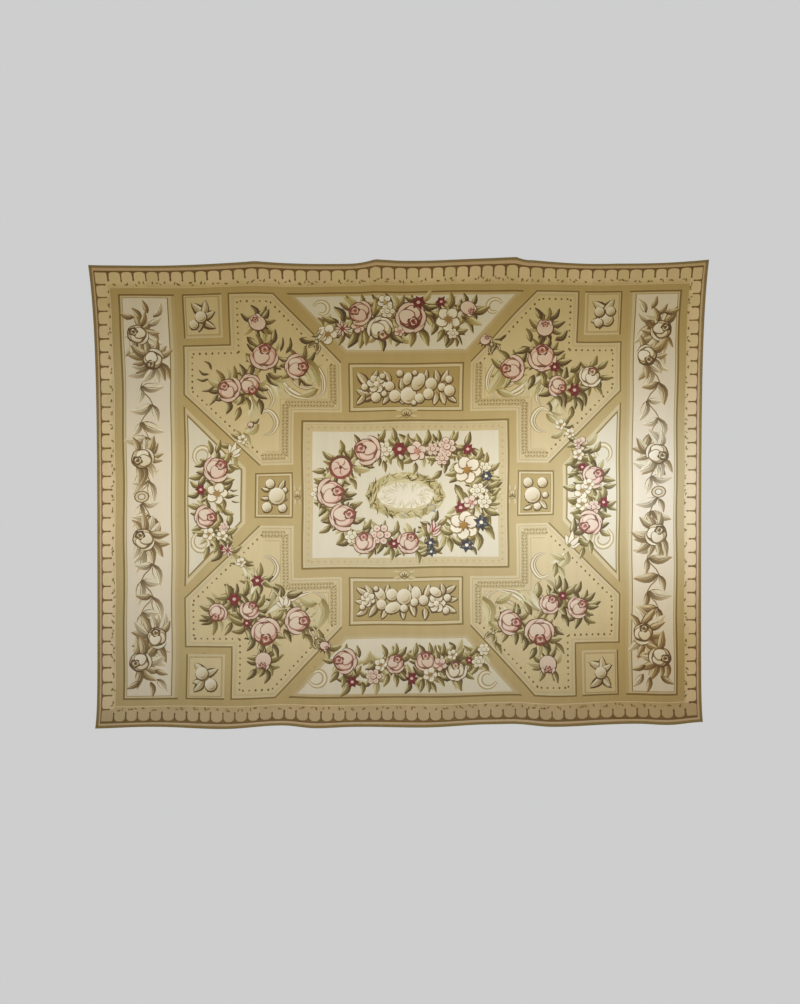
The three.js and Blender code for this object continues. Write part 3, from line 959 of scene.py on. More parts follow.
def lay_motifs(rows, within=(), count=0, length=60, longer=1.0, bigger=1.0):
    """Rows of kind, u, v, size and heading. Behind each flower, count leaves radiate."""
    for kind, u, v, size, heading in rows:
        if not is_leaf(kind) and kind not in BARE and count:
            spray(u, v, size, count + (2 if size > 33 else 0), length, within)
    for kind, u, v, size, heading in sorted(rows, key=laying_order):
        growth = longer if is_leaf(kind) else 1.0 if kind in UNDERLYING else bigger
        MOTIFS[kind](u, v, size * growth, heading)


print("kinds of motif:", len(MOTIFS))

# %% [markdown]
# ## Where the flowers grow
#
# Every garland and bouquet is a short list. A row gives the kind, its place
# in flat millimetres from the cloth's middle and from its top, its size and its heading.
# Scrolls and ribbons are laid first, then leaves, then flowers, so the flowers lie on top.

# %% The garlands at the two ends
TOP_GARLAND = [
    ("scroll", -310, 188, 34, 200), ("scroll_back", 380, 186, 34, -20), ("leaf", -282, 232, 50, 200),
    ("deep_leaf", -240, 210, 58, 235), ("pale_leaf", -204, 172, 54, 240),
    ("pale_leaf", -128, 252, 56, -30), ("deep_leaf", -185, 308, 66, 118), ("leaf", -150, 312, 58, 100),
    ("leaf", -134, 300, 56, 85), ("leaf", -97, 186, 60, -82), ("pale_leaf", -78, 170, 46, -70),
    ("deep_leaf", -10, 304, 54, 40), ("leaf", 46, 306, 58, 90), ("leaf", 101, 305, 62, 65),
    ("deep_leaf", 128, 238, 74, 60), ("deep_leaf", 140, 268, 50, 110), ("deep_leaf", 127, 186, 46, 0),
    ("leaf", 204, 162, 54, -85), ("leaf", 5, 162, 50, -60), ("pale_leaf", -18, 158, 44, -115),
    ("deep_leaf", 190, 316, 44, 100), ("thin_leaf", 236, 310, 50, 60), ("thin_leaf", 272, 258, 66, 55),
    ("pale_leaf", 300, 240, 58, 30), ("leaf", 333, 200, 54, -25), ("leaf", 240, 182, 46, -70),
    ("leaf", 110, 208, 44, 20), ("pale_leaf", -45, 245, 44, 120), ("leaf", 166, 300, 46, 120),
    ("white_flower", -288, 290, 38, 10), ("spray_star", -228, 268, 30, 0),
    ("pink_flower", -165, 258, 26, 30), ("rose", -162, 202, 42, 200), ("ink_flower", -57, 165, 28, 20),
    ("white_posy", -48, 200, 26, 0), ("cream_rose", -72, 275, 44, 70), ("open_rose", 48, 225, 50, 60),
    ("star", 77, 166, 26, 10), ("star", 169, 166, 20, 0), ("white_flower", 198, 236, 46, 20),
    ("white_posy", 214, 292, 20, 0), ("bud", 277, 192, 30, 40), ("pink_flower", 2, 280, 20, 0),
]
BOTTOM_GARLAND = [
    ("scroll_back", -330, 1645, 40, 160), ("scroll", 357, 1658, 40, 20), ("leaf", 65, 1540, 44, -80),
    ("leaf", 175, 1540, 42, -80), ("leaf", 205, 1542, 40, -60), ("leaf", 242, 1555, 44, -45),
    ("leaf", -165, 1545, 40, -100), ("leaf", -60, 1545, 42, -110), ("leaf", -15, 1540, 40, -80),
    ("leaf", 125, 1535, 38, -100), ("leaf", 90, 1682, 44, 100), ("leaf", 118, 1682, 42, 80),
    ("leaf", 140, 1688, 38, 60), ("leaf", 168, 1665, 42, 50), ("leaf", 235, 1672, 60, 60),
    ("leaf", 282, 1642, 46, 40), ("leaf", -262, 1645, 46, 130), ("leaf", -228, 1662, 42, 100),
    ("leaf", -150, 1690, 40, 90), ("leaf", -55, 1660, 44, 110), ("leaf", -15, 1662, 42, 80),
    ("leaf", 15, 1640, 38, 50), ("leaf", 300, 1550, 40, -50), ("leaf", -285, 1580, 40, 190),
    ("deep_leaf", -185, 1620, 34, 60), ("bud", -300, 1522, 22, -60), ("rose", -225, 1582, 42, 190),
    ("star", -190, 1665, 22, 0), ("posy", -105, 1645, 28, 0), ("pale_leaf", -130, 1572, 50, -60),
    ("rose", -15, 1592, 34, -60), ("star", 50, 1655, 23, 0), ("rose", 105, 1582, 38, -90),
    ("white_flower", 125, 1640, 28, 0), ("pink_flower", 165, 1600, 26, 20),
    ("cream_rose", 230, 1620, 36, -100), ("white_flower", 215, 1562, 20, 0), ("star", 283, 1585, 16, 0),
    ("white_posy", 320, 1592, 22, 0), ("white_posy", 342, 1545, 22, 0),
    ("white_flower", -75, 1600, 24, 0),
]

# %% The garlands at the two sides
LEFT_GARLAND = [
    ("scroll", -792, 765, 40, 120), ("scroll_back", -798, 1108, 42, 240),
    ("deep_leaf", -805, 797, 40, 150), ("leaf", -822, 850, 44, 170), ("leaf", -828, 965, 46, 190),
    ("leaf", -690, 990, 40, 20), ("deep_leaf", -690, 868, 42, -20), ("leaf", -700, 780, 44, -60),
    ("leaf", -765, 735, 46, -100), ("leaf", -730, 730, 44, -70), ("leaf", -668, 810, 38, 20),
    ("leaf", -815, 1050, 42, 160), ("leaf", -745, 1125, 46, 100), ("leaf", -780, 1150, 44, 110),
    ("leaf", -690, 1095, 38, 40), ("leaf", -725, 975, 36, 60), ("thin_leaf", -668, 900, 26, 0),
    ("thin_leaf", -665, 922, 26, 5), ("thin_leaf", -660, 948, 26, 10), ("lily", -665, 742, 34, -50),
    ("star", -800, 900, 20, 0), ("white_flower", -735, 915, 40, 0), ("rose", -735, 815, 44, -40),
    ("rose", -775, 1008, 40, 0), ("posy", -707, 1050, 20, 0), ("star", -708, 1135, 19, 0),
    ("white_flower", -715, 1085, 22, 0), ("white_flower", -770, 1075, 24, 10),
]
RIGHT_GARLAND = [
    ("scroll_back", 818, 768, 40, 60), ("scroll", 822, 1108, 42, -60), ("leaf", 850, 970, 44, -20),
    ("leaf", 832, 1010, 42, 20), ("leaf", 832, 1085, 40, 30), ("leaf", 712, 1000, 40, 160),
    ("leaf", 698, 955, 40, 180), ("leaf", 692, 908, 38, 190), ("leaf", 850, 900, 42, -10),
    ("leaf", 770, 790, 40, -110), ("leaf", 700, 780, 44, -100), ("leaf", 700, 850, 36, 170),
    ("leaf", 775, 1140, 44, 80), ("leaf", 740, 1165, 40, 110), ("leaf", 800, 745, 40, -60),
    ("pink_flower", 735, 732, 26, 0), ("star", 740, 825, 18, 0), ("rose", 790, 860, 40, -30),
    ("white_flower", 738, 920, 32, 10), ("white_flower", 765, 895, 22, 0),
    ("white_flower", 738, 972, 26, 20), ("star", 825, 965, 20, 0), ("posy", 785, 985, 24, 0),
    ("rose", 765, 1050, 42, 150), ("lily", 700, 1112, 38, -60), ("white_flower", 725, 775, 22, 0),
]

# %% The four bouquets
TOP_LEFT_BOUQUET = [
    ("plume", -538, 455, 120, 42), ("plume", -603, 525, 105, 75), ("plume", -422, 435, 90, 20),
    ("deep_leaf", -600, 432, 46, 110), ("deep_leaf", -500, 295, 44, -80),
    ("thin_leaf", -445, 330, 50, -75), ("thin_leaf", -470, 325, 44, -80),
    ("deep_leaf", -560, 572, 46, 80), ("deep_leaf", -690, 572, 44, 100),
    ("deep_leaf", -640, 545, 36, 120), ("deep_leaf", -632, 432, 44, -110),
    ("thin_leaf", -770, 408, 34, 230), ("thin_leaf", -785, 432, 34, 205),
    ("thin_leaf", -790, 460, 36, 180), ("thin_leaf", -768, 500, 40, 160),
    ("thin_leaf", -745, 545, 44, 130), ("leaf", -585, 318, 46, 40), ("deep_leaf", -440, 450, 40, 60),
    ("thin_leaf", -512, 470, 50, 45), ("leaf", -455, 400, 44, -30), ("leaf", -500, 448, 46, 10),
    ("pale_leaf", -345, 440, 90, 65), ("pale_leaf", -365, 520, 60, 160),
    ("pale_leaf", -590, 395, 60, 50), ("deep_leaf", -370, 310, 44, 10), ("bow", -330, 318, 40, 120),
    ("thin_leaf", -335, 290, 26, -20), ("bud", -565, 242, 34, -125), ("rose", -540, 368, 50, -85),
    ("rose", -405, 415, 44, 0), ("rose", -600, 492, 38, 60), ("rose", -690, 500, 42, 215),
    ("thin_leaf", -372, 478, 40, 25), ("leaf", -650, 600, 44, 110), ("leaf", -610, 560, 40, 70),
]
TOP_RIGHT_BOUQUET = [
    ("plume", 582, 455, 120, 138), ("plume", 647, 525, 105, 105), ("plume", 478, 435, 90, 160),
    ("deep_leaf", 620, 218, 44, -50), ("deep_leaf", 556, 215, 40, -120),
    ("deep_leaf", 495, 360, 46, 160), ("deep_leaf", 650, 302, 46, -40), ("thin_leaf", 600, 590, 40, 90),
    ("deep_leaf", 640, 560, 40, 60), ("deep_leaf", 710, 430, 44, -40), ("deep_leaf", 725, 575, 44, 70),
    ("leaf", 820, 420, 40, -40), ("leaf", 835, 470, 40, 0), ("leaf", 800, 520, 42, 50),
    ("deep_leaf", 530, 485, 46, 110), ("leaf", 575, 470, 46, 80), ("pale_leaf", 390, 480, 90, 120),
    ("pale_leaf", 430, 530, 60, 20), ("leaf", 655, 480, 46, 40), ("leaf", 520, 300, 44, -110),
    ("bud", 585, 275, 34, -90), ("rose", 575, 382, 50, -90), ("rose", 447, 430, 44, 180),
    ("cream_rose", 770, 462, 40, -60), ("star", 705, 520, 25, 0), ("star", 625, 428, 20, 10),
    ("rose", 640, 505, 34, 20), ("bud", 345, 318, 22, -60), ("thin_leaf", 405, 305, 40, 160),
    ("thin_leaf", 380, 350, 36, 120), ("leaf", 690, 610, 42, 100), ("bow", 370, 335, 34, 60),
]
BOTTOM_LEFT_BOUQUET = [
    ("plume", -538, 1395, 120, -42), ("plume", -603, 1325, 105, -75), ("plume", -422, 1415, 90, -20),
    ("deep_leaf", -450, 1482, 44, 60), ("deep_leaf", -600, 1512, 46, 120),
    ("deep_leaf", -500, 1542, 44, 70), ("deep_leaf", -540, 1640, 44, 100),
    ("deep_leaf", -597, 1630, 42, 130), ("deep_leaf", -630, 1395, 42, 200),
    ("leaf", -690, 1450, 44, 120), ("leaf", -775, 1400, 40, 190), ("leaf", -760, 1345, 42, 230),
    ("leaf", -690, 1300, 42, -100), ("leaf", -620, 1290, 44, -80), ("leaf", -560, 1345, 46, -60),
    ("deep_leaf", -640, 1350, 40, -130), ("pale_leaf", -320, 1395, 90, 100),
    ("pale_leaf", -370, 1340, 60, 200), ("leaf", -490, 1400, 46, -40), ("lily", -470, 1345, 34, -100),
    ("rose", -540, 1472, 50, 85), ("rose", -405, 1422, 46, 0), ("bud", -550, 1578, 34, 100),
    ("rose", -735, 1390, 34, 120), ("star", -665, 1335, 25, 0), ("star", -575, 1262, 24, 0),
    ("star", -615, 1430, 18, 0), ("rose", -600, 1375, 34, -60), ("bud", -300, 1522, 20, 40),
    ("leaf", -365, 1500, 44, 60), ("bow", -335, 1490, 36, 60),
]
BOTTOM_RIGHT_BOUQUET = [
    ("plume", 582, 1395, 120, -138), ("plume", 647, 1325, 105, -105), ("plume", 478, 1415, 90, -160),
    ("deep_leaf", 640, 1282, 44, -80), ("deep_leaf", 720, 1302, 44, -60),
    ("deep_leaf", 770, 1340, 42, -40), ("deep_leaf", 778, 1378, 40, 0), ("deep_leaf", 670, 1432, 42, 60),
    ("deep_leaf", 645, 1470, 40, 40), ("deep_leaf", 505, 1522, 44, 100),
    ("deep_leaf", 540, 1560, 42, 120), ("leaf", 520, 1380, 46, -120), ("leaf", 560, 1310, 46, -90),
    ("leaf", 770, 1430, 42, 30), ("leaf", 650, 1540, 42, 50), ("leaf", 630, 1650, 42, 70),
    ("leaf", 575, 1645, 40, 110), ("pale_leaf", 350, 1395, 90, 80), ("pale_leaf", 400, 1450, 60, 20),
    ("pale_leaf", 425, 1338, 60, -30), ("leaf", 500, 1470, 40, 160), ("rose", 455, 1437, 44, 0),
    ("rose", 570, 1482, 50, 90), ("bud", 600, 1602, 36, 90), ("rose", 610, 1362, 36, -60),
    ("rose", 725, 1377, 38, -30), ("star", 660, 1335, 18, 0), ("bow", 380, 1480, 34, 120),
    ("leaf", 400, 1540, 40, 60),
]

# %% The wreath of flowers in the centre
CENTRE_FLOWERS = [
    ("leaf", -70, 692, 48, -60), ("leaf", -20, 688, 46, -100), ("leaf", 112, 700, 50, -80),
    ("leaf", -285, 770, 48, 215), ("leaf", -235, 735, 46, -95), ("leaf", -192, 760, 38, -80),
    ("leaf", -322, 830, 46, 175), ("pale_leaf", -152, 822, 60, 10), ("leaf", -320, 866, 44, 190),
    ("leaf", -188, 882, 44, 60), ("deep_leaf", -200, 922, 46, 0), ("leaf", -300, 1062, 46, 150),
    ("leaf", -240, 1100, 46, 120), ("leaf", -120, 1152, 46, 100), ("leaf", 320, 770, 50, -70),
    ("leaf", 348, 788, 44, -80), ("leaf", 385, 822, 44, -40), ("leaf", 380, 890, 46, -25),
    ("leaf", 392, 922, 34, -45), ("leaf", 370, 995, 46, 15), ("leaf", 365, 1085, 50, 50),
    ("leaf", 318, 1115, 60, 90), ("leaf", 205, 1130, 46, 80), ("leaf", 245, 920, 60, 60),
    ("leaf", 215, 845, 50, 170), ("leaf", -60, 815, 40, 80), ("leaf", 5, 808, 44, 70),
    ("leaf", 60, 825, 40, 100), ("leaf", 150, 850, 46, 140), ("leaf", 210, 1020, 44, 190),
    ("leaf", 190, 1075, 46, 200), ("leaf", -30, 1160, 44, 90), ("leaf", 75, 1175, 44, 80),
    ("leaf", 100, 1070, 44, -110), ("leaf", -10, 1055, 44, -80), ("leaf", -130, 1045, 46, -50),
    ("leaf", -175, 960, 44, -10), ("leaf", 225, 700, 44, -60), ("leaf", 160, 695, 40, -90),
    ("leaf", 255, 790, 40, 20), ("white_posy", -330, 922, 24, 0), ("white_posy", -60, 748, 28, 0),
    ("white_posy", 345, 825, 22, 0), ("white_posy", 318, 915, 28, 0), ("white_posy", 345, 960, 26, 0),
    ("white_posy", -190, 1095, 24, 0), ("red_flower", -235, 815, 36, 20), ("rose", -135, 748, 46, 200),
    ("star", 2, 748, 28, 0), ("pink_flower", 72, 757, 36, -90), ("posy", 135, 748, 24, 0),
    ("posy", 192, 738, 34, 20), ("posy", 172, 785, 24, 0), ("star", 276, 748, 22, 10),
    ("anemone", 275, 832, 50, 15), ("ink_star", 352, 858, 22, 0), ("star", 250, 982, 24, 10),
    ("pink_flower", 290, 962, 26, 0), ("anemone", 262, 1052, 52, 40), ("ink_star", 332, 1040, 27, 20),
    ("ink_star", 272, 1130, 25, 40), ("tulip", 140, 1062, 36, -60), ("ink_star", 125, 1120, 20, 0),
    ("ink_star", 128, 1155, 17, 20), ("rose", 40, 1110, 38, -60), ("posy", -75, 1085, 36, 0),
    ("rose", -270, 915, 47, -15), ("rose", -222, 1010, 46, -20), ("rose", -140, 1110, 38, -100),
    ("star", -20, 1120, 20, 0),
]

# %% The trails that join the corner bouquets to the side garlands
TRAILS = [
    ("plume", -560, 640, 78, 150), ("pale_leaf", -590, 662, 58, 140), ("pale_leaf", -612, 700, 52, 60),
    ("white_flower", -632, 702, 21, 0), ("bud", -598, 645, 15, 120), ("leaf", -655, 690, 46, 200),
    ("plume", 600, 600, 84, 45), ("pale_leaf", 618, 634, 60, 40), ("pale_leaf", 640, 690, 54, -30),
    ("white_flower", 650, 655, 23, 0), ("white_flower", 690, 690, 20, 30), ("leaf", 672, 640, 48, -50),
    ("pink_flower", 722, 728, 19, 0), ("leaf", 700, 735, 44, 160),
    ("spray_star", -694, 1142, 27, 0), ("leaf", -660, 1140, 48, -30), ("pale_leaf", -665, 1180, 58, 60),
    ("white_flower", -640, 1190, 20, 0), ("leaf", -615, 1180, 46, 20), ("plume", -640, 1200, 70, 50),
    ("plume", 672, 1160, 92, 125), ("pale_leaf", 668, 1190, 62, 115), ("pale_leaf", 640, 1178, 56, 200),
    ("leaf", 630, 1232, 52, 100), ("pale_leaf", 656, 1240, 50, 60),
]

# %% The columns, the squares and the fruit
LEFT_COLUMN = [
    ("sepia_leaf", -1085, 207, 66, 195), ("sepia_leaf", -1010, 172, 60, -110),
    ("open_leaf", -962, 185, 70, -60), ("open_leaf", -975, 232, 66, -30),
    ("sepia_leaf", -1045, 200, 62, -130), ("sepia_leaf", -1020, 222, 70, -70),
    ("sepia_rose", -1048, 282, 41, 215), ("sepia_rose", -990, 388, 41, 120),
    ("sepia_rose", -1040, 775, 44, 160), ("sepia_ring", -1040, 925, 30, 0),
    ("sepia_rose", -1035, 1092, 44, 230), ("sepia_rose", -980, 1480, 41, -105),
    ("sepia_rose", -1052, 1580, 42, 165), ("sepia_leaf", -1075, 1670, 66, 150),
    ("sepia_leaf", -1000, 1688, 66, 80), ("open_leaf", -958, 1672, 70, 50),
    ("sepia_leaf", -962, 1620, 60, 20),
]
COLUMN_STEMS = [
    [(-1000, 260), (-1015, 330), (-998, 420), (-1040, 490), (-992, 560), (-1040, 630), (-1010, 690),
     (-1040, 750)],
    [(-1040, 820), (-1008, 862), (-1040, 900)], [(-1040, 950), (-1008, 1000), (-1035, 1050)],
    [(-1030, 1130), (-995, 1190), (-1042, 1255), (-995, 1320), (-1040, 1385), (-985, 1450)],
    [(-990, 1500), (-1020, 1550), (-1000, 1650)],
]
COLUMN_TURN = 6.0                # the right column is the left one turned over, 6 mm further right
SMALL_PIECES = [
    ("cream_leaf", -830, 180, 52, 220), ("cream_leaf", -775, 178, 44, -80),
    ("cream_leaf", -742, 205, 42, -20), ("cream_leaf", -748, 245, 40, 30),
    ("cream_leaf", -795, 265, 44, 100), ("fruit", -832, 245, 16, 0), ("fruit", -790, 215, 20, 0),
    ("cream_leaf", 795, 182, 50, 210), ("cream_leaf", 850, 182, 44, -50),
    ("cream_leaf", 772, 238, 44, 170), ("cream_leaf", 805, 275, 40, 100), ("fruit", 830, 240, 20, 0),
    ("cream_leaf", -830, 1600, 44, 220), ("cream_leaf", -832, 1655, 44, 170),
    ("cream_leaf", -820, 1690, 40, 130), ("cream_leaf", -742, 1620, 42, -20),
    ("fruit", -797, 1627, 22, 0), ("fruit", -760, 1672, 21, 0), ("cream_leaf", 765, 1608, 46, 200),
    ("cream_leaf", 820, 1590, 46, -90), ("cream_leaf", 862, 1620, 42, -20),
    ("cream_leaf", 850, 1682, 44, 50), ("cream_leaf", 780, 1676, 44, 140), ("fruit", 815, 1640, 20, 0),
    ("fruit", 798, 206, 17, 0), ("fruit", 842, 204, 16, 0), ("fruit", 796, 250, 15, 0),
    ("cream_leaf", -546, 900, 22, 200), ("cream_leaf", -546, 936, 24, 180),
    ("cream_leaf", -476, 884, 30, -60), ("cream_leaf", -446, 938, 22, 10),
    ("fruit", -523, 879, 16, 0), ("fruit", -535, 975, 17, 0),
    ("fruit", -473, 975, 15, 0), ("fruit", -450, 906, 9, 0), ("fruit", -495, 929, 29, 0),
    ("cream_leaf", 517, 985, 24, 160), ("cream_leaf", 590, 982, 30, 50), ("fruit", 514, 882, 16, 0),
    ("fruit", 576, 882, 17, 0), ("fruit", 588, 932, 10, 0), ("fruit", 558, 985, 13, 0),
    ("fruit", 538, 932, 27, 0),
    ("cartouche", -412, 925, 36, 90), ("cartouche", 458, 930, 36, 90),
    ("cartouche", 30, 606, 42, 0), ("cartouche", 20, 1243, 42, 0),
]
FRUIT_GROUPS = [
    ("cream_leaf", -158, 468, 46, -125), ("cream_leaf", -130, 535, 48, 150),
    ("cream_leaf", -178, 520, 40, 200), ("cream_leaf", -100, 452, 34, -60),
    ("cream_leaf", -50, 448, 36, -120), ("cream_leaf", 8, 488, 34, -90),
    ("cream_leaf", 150, 452, 36, -100), ("cream_leaf", 182, 452, 36, -60),
    ("cream_leaf", 175, 552, 38, 70), ("cream_leaf", 146, 548, 34, 100),
    ("cream_leaf", -55, 566, 32, 120), ("cream_leaf", 5, 568, 32, 60), ("cream_leaf", 106, 446, 32, -80),
    ("cream_leaf", 215, 545, 32, 40), ("cream_leaf", -185, 560, 34, 130),
    ("open_cream", -92, 488, 34, 10), ("fruit", -95, 541, 17, 0), ("fruit", -62, 528, 10, 0),
    ("fruit", -40, 498, 17, 0), ("fruit", -18, 537, 21, 0), ("fruit", 1, 446, 12, 0),
    ("long_fruit", 32, 468, 15, -70), ("fruit", 37, 535, 29, 0), ("long_fruit", 76, 480, 21, -60),
    ("fruit", 82, 545, 17, 0), ("fruit", 128, 488, 21, 0), ("fruit", 118, 528, 19, 0),
    ("fruit", 172, 502, 14, 0), ("fruit", 200, 472, 13, 0), ("fruit", 203, 516, 19, 0),
    ("fruit", -140, 500, 12, 0), ("fruit", -68, 458, 10, 0), ("fruit", 60, 572, 9, 0),
    ("fruit", 62, 444, 9, 0), ("cream_leaf", -125, 1302, 36, -120), ("cream_leaf", -165, 1308, 36, -150),
    ("cream_leaf", -108, 1385, 38, 120), ("cream_leaf", -160, 1390, 36, 150),
    ("cream_leaf", -185, 1348, 34, 180), ("cream_leaf", 55, 1380, 38, 70),
    ("cream_leaf", 112, 1302, 38, -70), ("cream_leaf", 205, 1304, 38, -30),
    ("cream_leaf", 215, 1380, 40, 30), ("cream_leaf", -50, 1296, 32, -80),
    ("cream_leaf", 45, 1296, 32, -100), ("cream_leaf", -62, 1398, 32, 110),
    ("cream_leaf", 15, 1400, 32, 80), ("cream_leaf", 105, 1396, 32, 90),
    ("cream_leaf", 175, 1300, 32, -100), ("cream_leaf", 228, 1342, 30, 0),
    ("open_cream", 152, 1358, 33, 0), ("open_cream", -128, 1342, 27, 20),
    ("long_fruit", -78, 1320, 17, 60), ("fruit", -30, 1322, 21, 0), ("fruit", -72, 1362, 18, 0),
    ("long_fruit", -25, 1374, 19, -20), ("fruit", 20, 1330, 27, 0), ("long_fruit", 70, 1322, 18, 80),
    ("fruit", 62, 1352, 14, 0), ("long_fruit", 148, 1314, 15, 30), ("fruit", 100, 1345, 17, 0),
    ("fruit", 20, 1376, 14, 0), ("fruit", 196, 1338, 13, 0), ("fruit", 190, 1388, 12, 0),
    ("fruit", -95, 1298, 9, 0), ("fruit", -150, 1372, 10, 0),
]


def vine(stem, length):
    """A stem with a pair of leaves at each joint, one long and one short by turns."""
    stroke(stem, 5.0, "sepia", "russet", tip=0.6, steps=3)
    for index, (u, v) in enumerate(stem[:-1]):
        along_stem = math.degrees(math.atan2(stem[index + 1][1] - v, stem[index + 1][0] - u))
        for side in (-1, 1):
            lean = along_stem + side * dice.uniform(38, 58)
            long = length * (1.0 if (index % 2 == 0) == (side > 0) else 0.72) * dice.uniform(0.9, 1.1)
            kind = dice.choice(("open_leaf", "open_leaf", "sepia_leaf"))
            MOTIFS[kind](*step_from(u, v, lean, 0.5 * long), long, lean)


def lay_columns():
    for side in (-1, 1):
        column = on_cloth([(side * u, v) for u, v in inset(COLUMN, 12)])
        for stem in COLUMN_STEMS:
            vine([(-side * u + (COLUMN_TURN if side > 0 else 0), v) for u, v in stem], length=98)
        for turned in (False, True):
            for kind, u, v, size, heading in LEFT_COLUMN:
                if side > 0:
                    u, heading = COLUMN_TURN - u, 180 - heading
                if turned:
                    MOTIFS[kind](u, v, size, heading)
                elif kind == "sepia_rose":
                    spray(u, v, size, count=15, length=82, within=column,
                          foliage=("sepia_leaf", "sepia_leaf", "open_leaf"))


SHELL_RIMS = [                                   # width and path, in the lower right quarter of the pattern
    (15, [(590, 422), (565, 434), (541, 408), (532, 375), (548, 342)]),
    (16, [(592, 322), (552, 336), (525, 312), (517, 280), (538, 248), (572, 241)]),
    (23, [(492, 452), (474, 420), (436, 394), (380, 382)]),
    (13, [(392, 540), (352, 505), (330, 455), (336, 405), (372, 384)]),
    (9, [(470, 470), (440, 440), (405, 425), (375, 432), (362, 460)]),
    (8, [(430, 505), (392, 490), (362, 500)]),
]
SHELL_LINE = 9


def lay_shells():
    """The pale shell edges behind the bouquets, each with a darker line inside its curve."""
    for width, path in SHELL_RIMS:
        for rim in mirrored(path):
            rim = on_cloth(rim)
            stroke(rim, width + SHELL_LINE, "gold_deep", "gold_dark", tip=0.2)
            shade = [(u + (0.11 * width if u > 0 else -0.11 * width), v) for u, v in rim]
            stroke(rim, width, "ivory", "pearl", tip=0.2)
            stroke(shade, 0.3 * width, "sage", "olive", tip=0.1)


GARLAND_GROUND = {
    "top": on_cloth(mirrored(END_GARLAND)[0]), "hem": on_cloth(mirrored(END_GARLAND)[1]),
    "left": on_cloth(mirrored(SIDE_GARLAND)[1]), "right": on_cloth(mirrored(SIDE_GARLAND)[3]),
    "centre": on_cloth(inset(CENTRE, 44))}
FRUIT_GROUND = [on_cloth(inset(outline, 22)) for shape in (SMALL_SQUARE, FRUIT_PANEL, MIDDLE_SQUARE)
                for outline in mirrored(shape)]
BOUQUET_GROUND = [on_cloth(inset(outline, 40)) for outline in mirrored(CORNER_PANEL)]
NEAR_PANEL = 20                                  # how far outside a panel a row can be that belongs to it


def kept_in(kind, u, v, size, heading):
    """A row of the fruit groups, moved in so that its piece stays on the ground of its panel."""
    long, wide = (0.82 * size, 0.3 * size) if is_leaf(kind) else (1.2 * size, 1.2 * size)
    turn = math.radians(heading)
    reach_u = abs(long * math.cos(turn)) + abs(wide * math.sin(turn))
    reach_v = abs(long * math.sin(turn)) + abs(wide * math.cos(turn))
    for ground in FRUIT_GROUND:
        (left, top), (right, bottom) = min(ground), max(ground)
        near = (left - NEAR_PANEL < u < right + NEAR_PANEL and top - NEAR_PANEL < v < bottom + NEAR_PANEL)
        if near and kind != "cartouche":
            u = min(max(u, left + reach_u), right - reach_u)
            v = min(max(v, top + reach_v), bottom - reach_v)
    return kind, u, v, size, heading


def ring_of_leaves(u, v, across, down, count, outward, length):
    """Leaves along an oval; outward is 1 or -1."""
    for index in range(count):
        turn = math.tau * (index + dice.uniform(-0.25, 0.25)) / count
        spot = (u + across * math.cos(turn), v + down * math.sin(turn))
        away = math.degrees(math.atan2(math.sin(turn) / down, math.cos(turn) / across))
        lean = away + dice.uniform(-42, 42) + (0 if outward > 0 else 180)
        MOTIFS[dice.choice(FOLIAGE)](*spot, length * dice.uniform(0.75, 1.2), lean)


lay_columns()
lay_shells()
for name, rows in (("top", TOP_GARLAND), ("hem", BOTTOM_GARLAND), ("left", LEFT_GARLAND),
                   ("right", RIGHT_GARLAND)):
    lay_motifs(rows, GARLAND_GROUND[name], count=6, length=60, longer=1.35, bigger=1.12)
for rows, ground in zip((TOP_LEFT_BOUQUET, BOTTOM_LEFT_BOUQUET, TOP_RIGHT_BOUQUET, BOTTOM_RIGHT_BOUQUET),
                        BOUQUET_GROUND):
    lay_motifs(rows, ground, count=8, length=66, longer=1.45, bigger=1.1)
lay_motifs(TRAILS, count=2, length=40, longer=1.2)
for pieces in (SMALL_PIECES, FRUIT_GROUPS):
    pieces = [kept_in(*row) for row in pieces]
    lay_shade(pieces)
    lay_motifs(pieces, longer=1.55, bigger=1.18)
wreath(25, 930, across=158, down=88, count=130)
ring_of_leaves(35, 928, across=352, down=212, count=74, outward=1, length=72)
ring_of_leaves(35, 928, across=268, down=152, count=46, outward=-1, length=54)
lay_motifs(CENTRE_FLOWERS, GARLAND_GROUND["centre"], count=4, length=56, longer=1.3, bigger=1.15)
print("patches in all:", len(patches))

# %% [markdown]
# ## From patches to one closed cloth
#
# The front is cut along every outline, with a lattice of extra points so that it can bend.
# The back of a real tapestry shows the same pattern, so it gets the larger patches on a
# wider lattice. Both use the same points round the rim, and a strip of faces there joins
# them into one closed body, 3 mm thick.

# %% Cutting the cloth along the outlines
RIM_STEP, FRONT_LATTICE, BACK_LATTICE, LONGEST_EDGE = 20.0, 25.0, 38.0, 25.0
LEAST_ON_BACK = 900.0                            # square millimetres of the smallest patch shown there
WANDER = 1.3
CUT = TAPE_ROOM                                  # the cloth ends inside the fold of the tape
WOVEN_EDGE = box(CUT - WIDTH / 2, CUT, WIDTH / 2 - CUT, DROP - CUT)


def split_long_edges(outline, longest):
    points = []
    for start, finish in zip(outline, outline[1:] + outline[:1]):
        parts = max(math.ceil(math.dist(start, finish) / longest), 1)
        for part in range(parts):
            t = part / parts
            points.append((start[0] + (finish[0] - start[0]) * t, start[1] + (finish[1] - start[1]) * t))
    return points


def wander(outline):
    """Hand weaving never runs quite straight: lines wander by a millimetre or so."""
    moved = []
    for u, v in outline:
        calm = min(1.0, (WIDTH / 2 - abs(u)) / 60, (DROP / 2 - abs(v - DROP / 2)) / 60)
        moved.append((u + calm * WANDER * math.sin(v / 61 + 1.9 * math.sin(u / 173)),
                      v + calm * WANDER * math.sin(u / 67 + 2.3 * math.sin(v / 151))))
    return moved


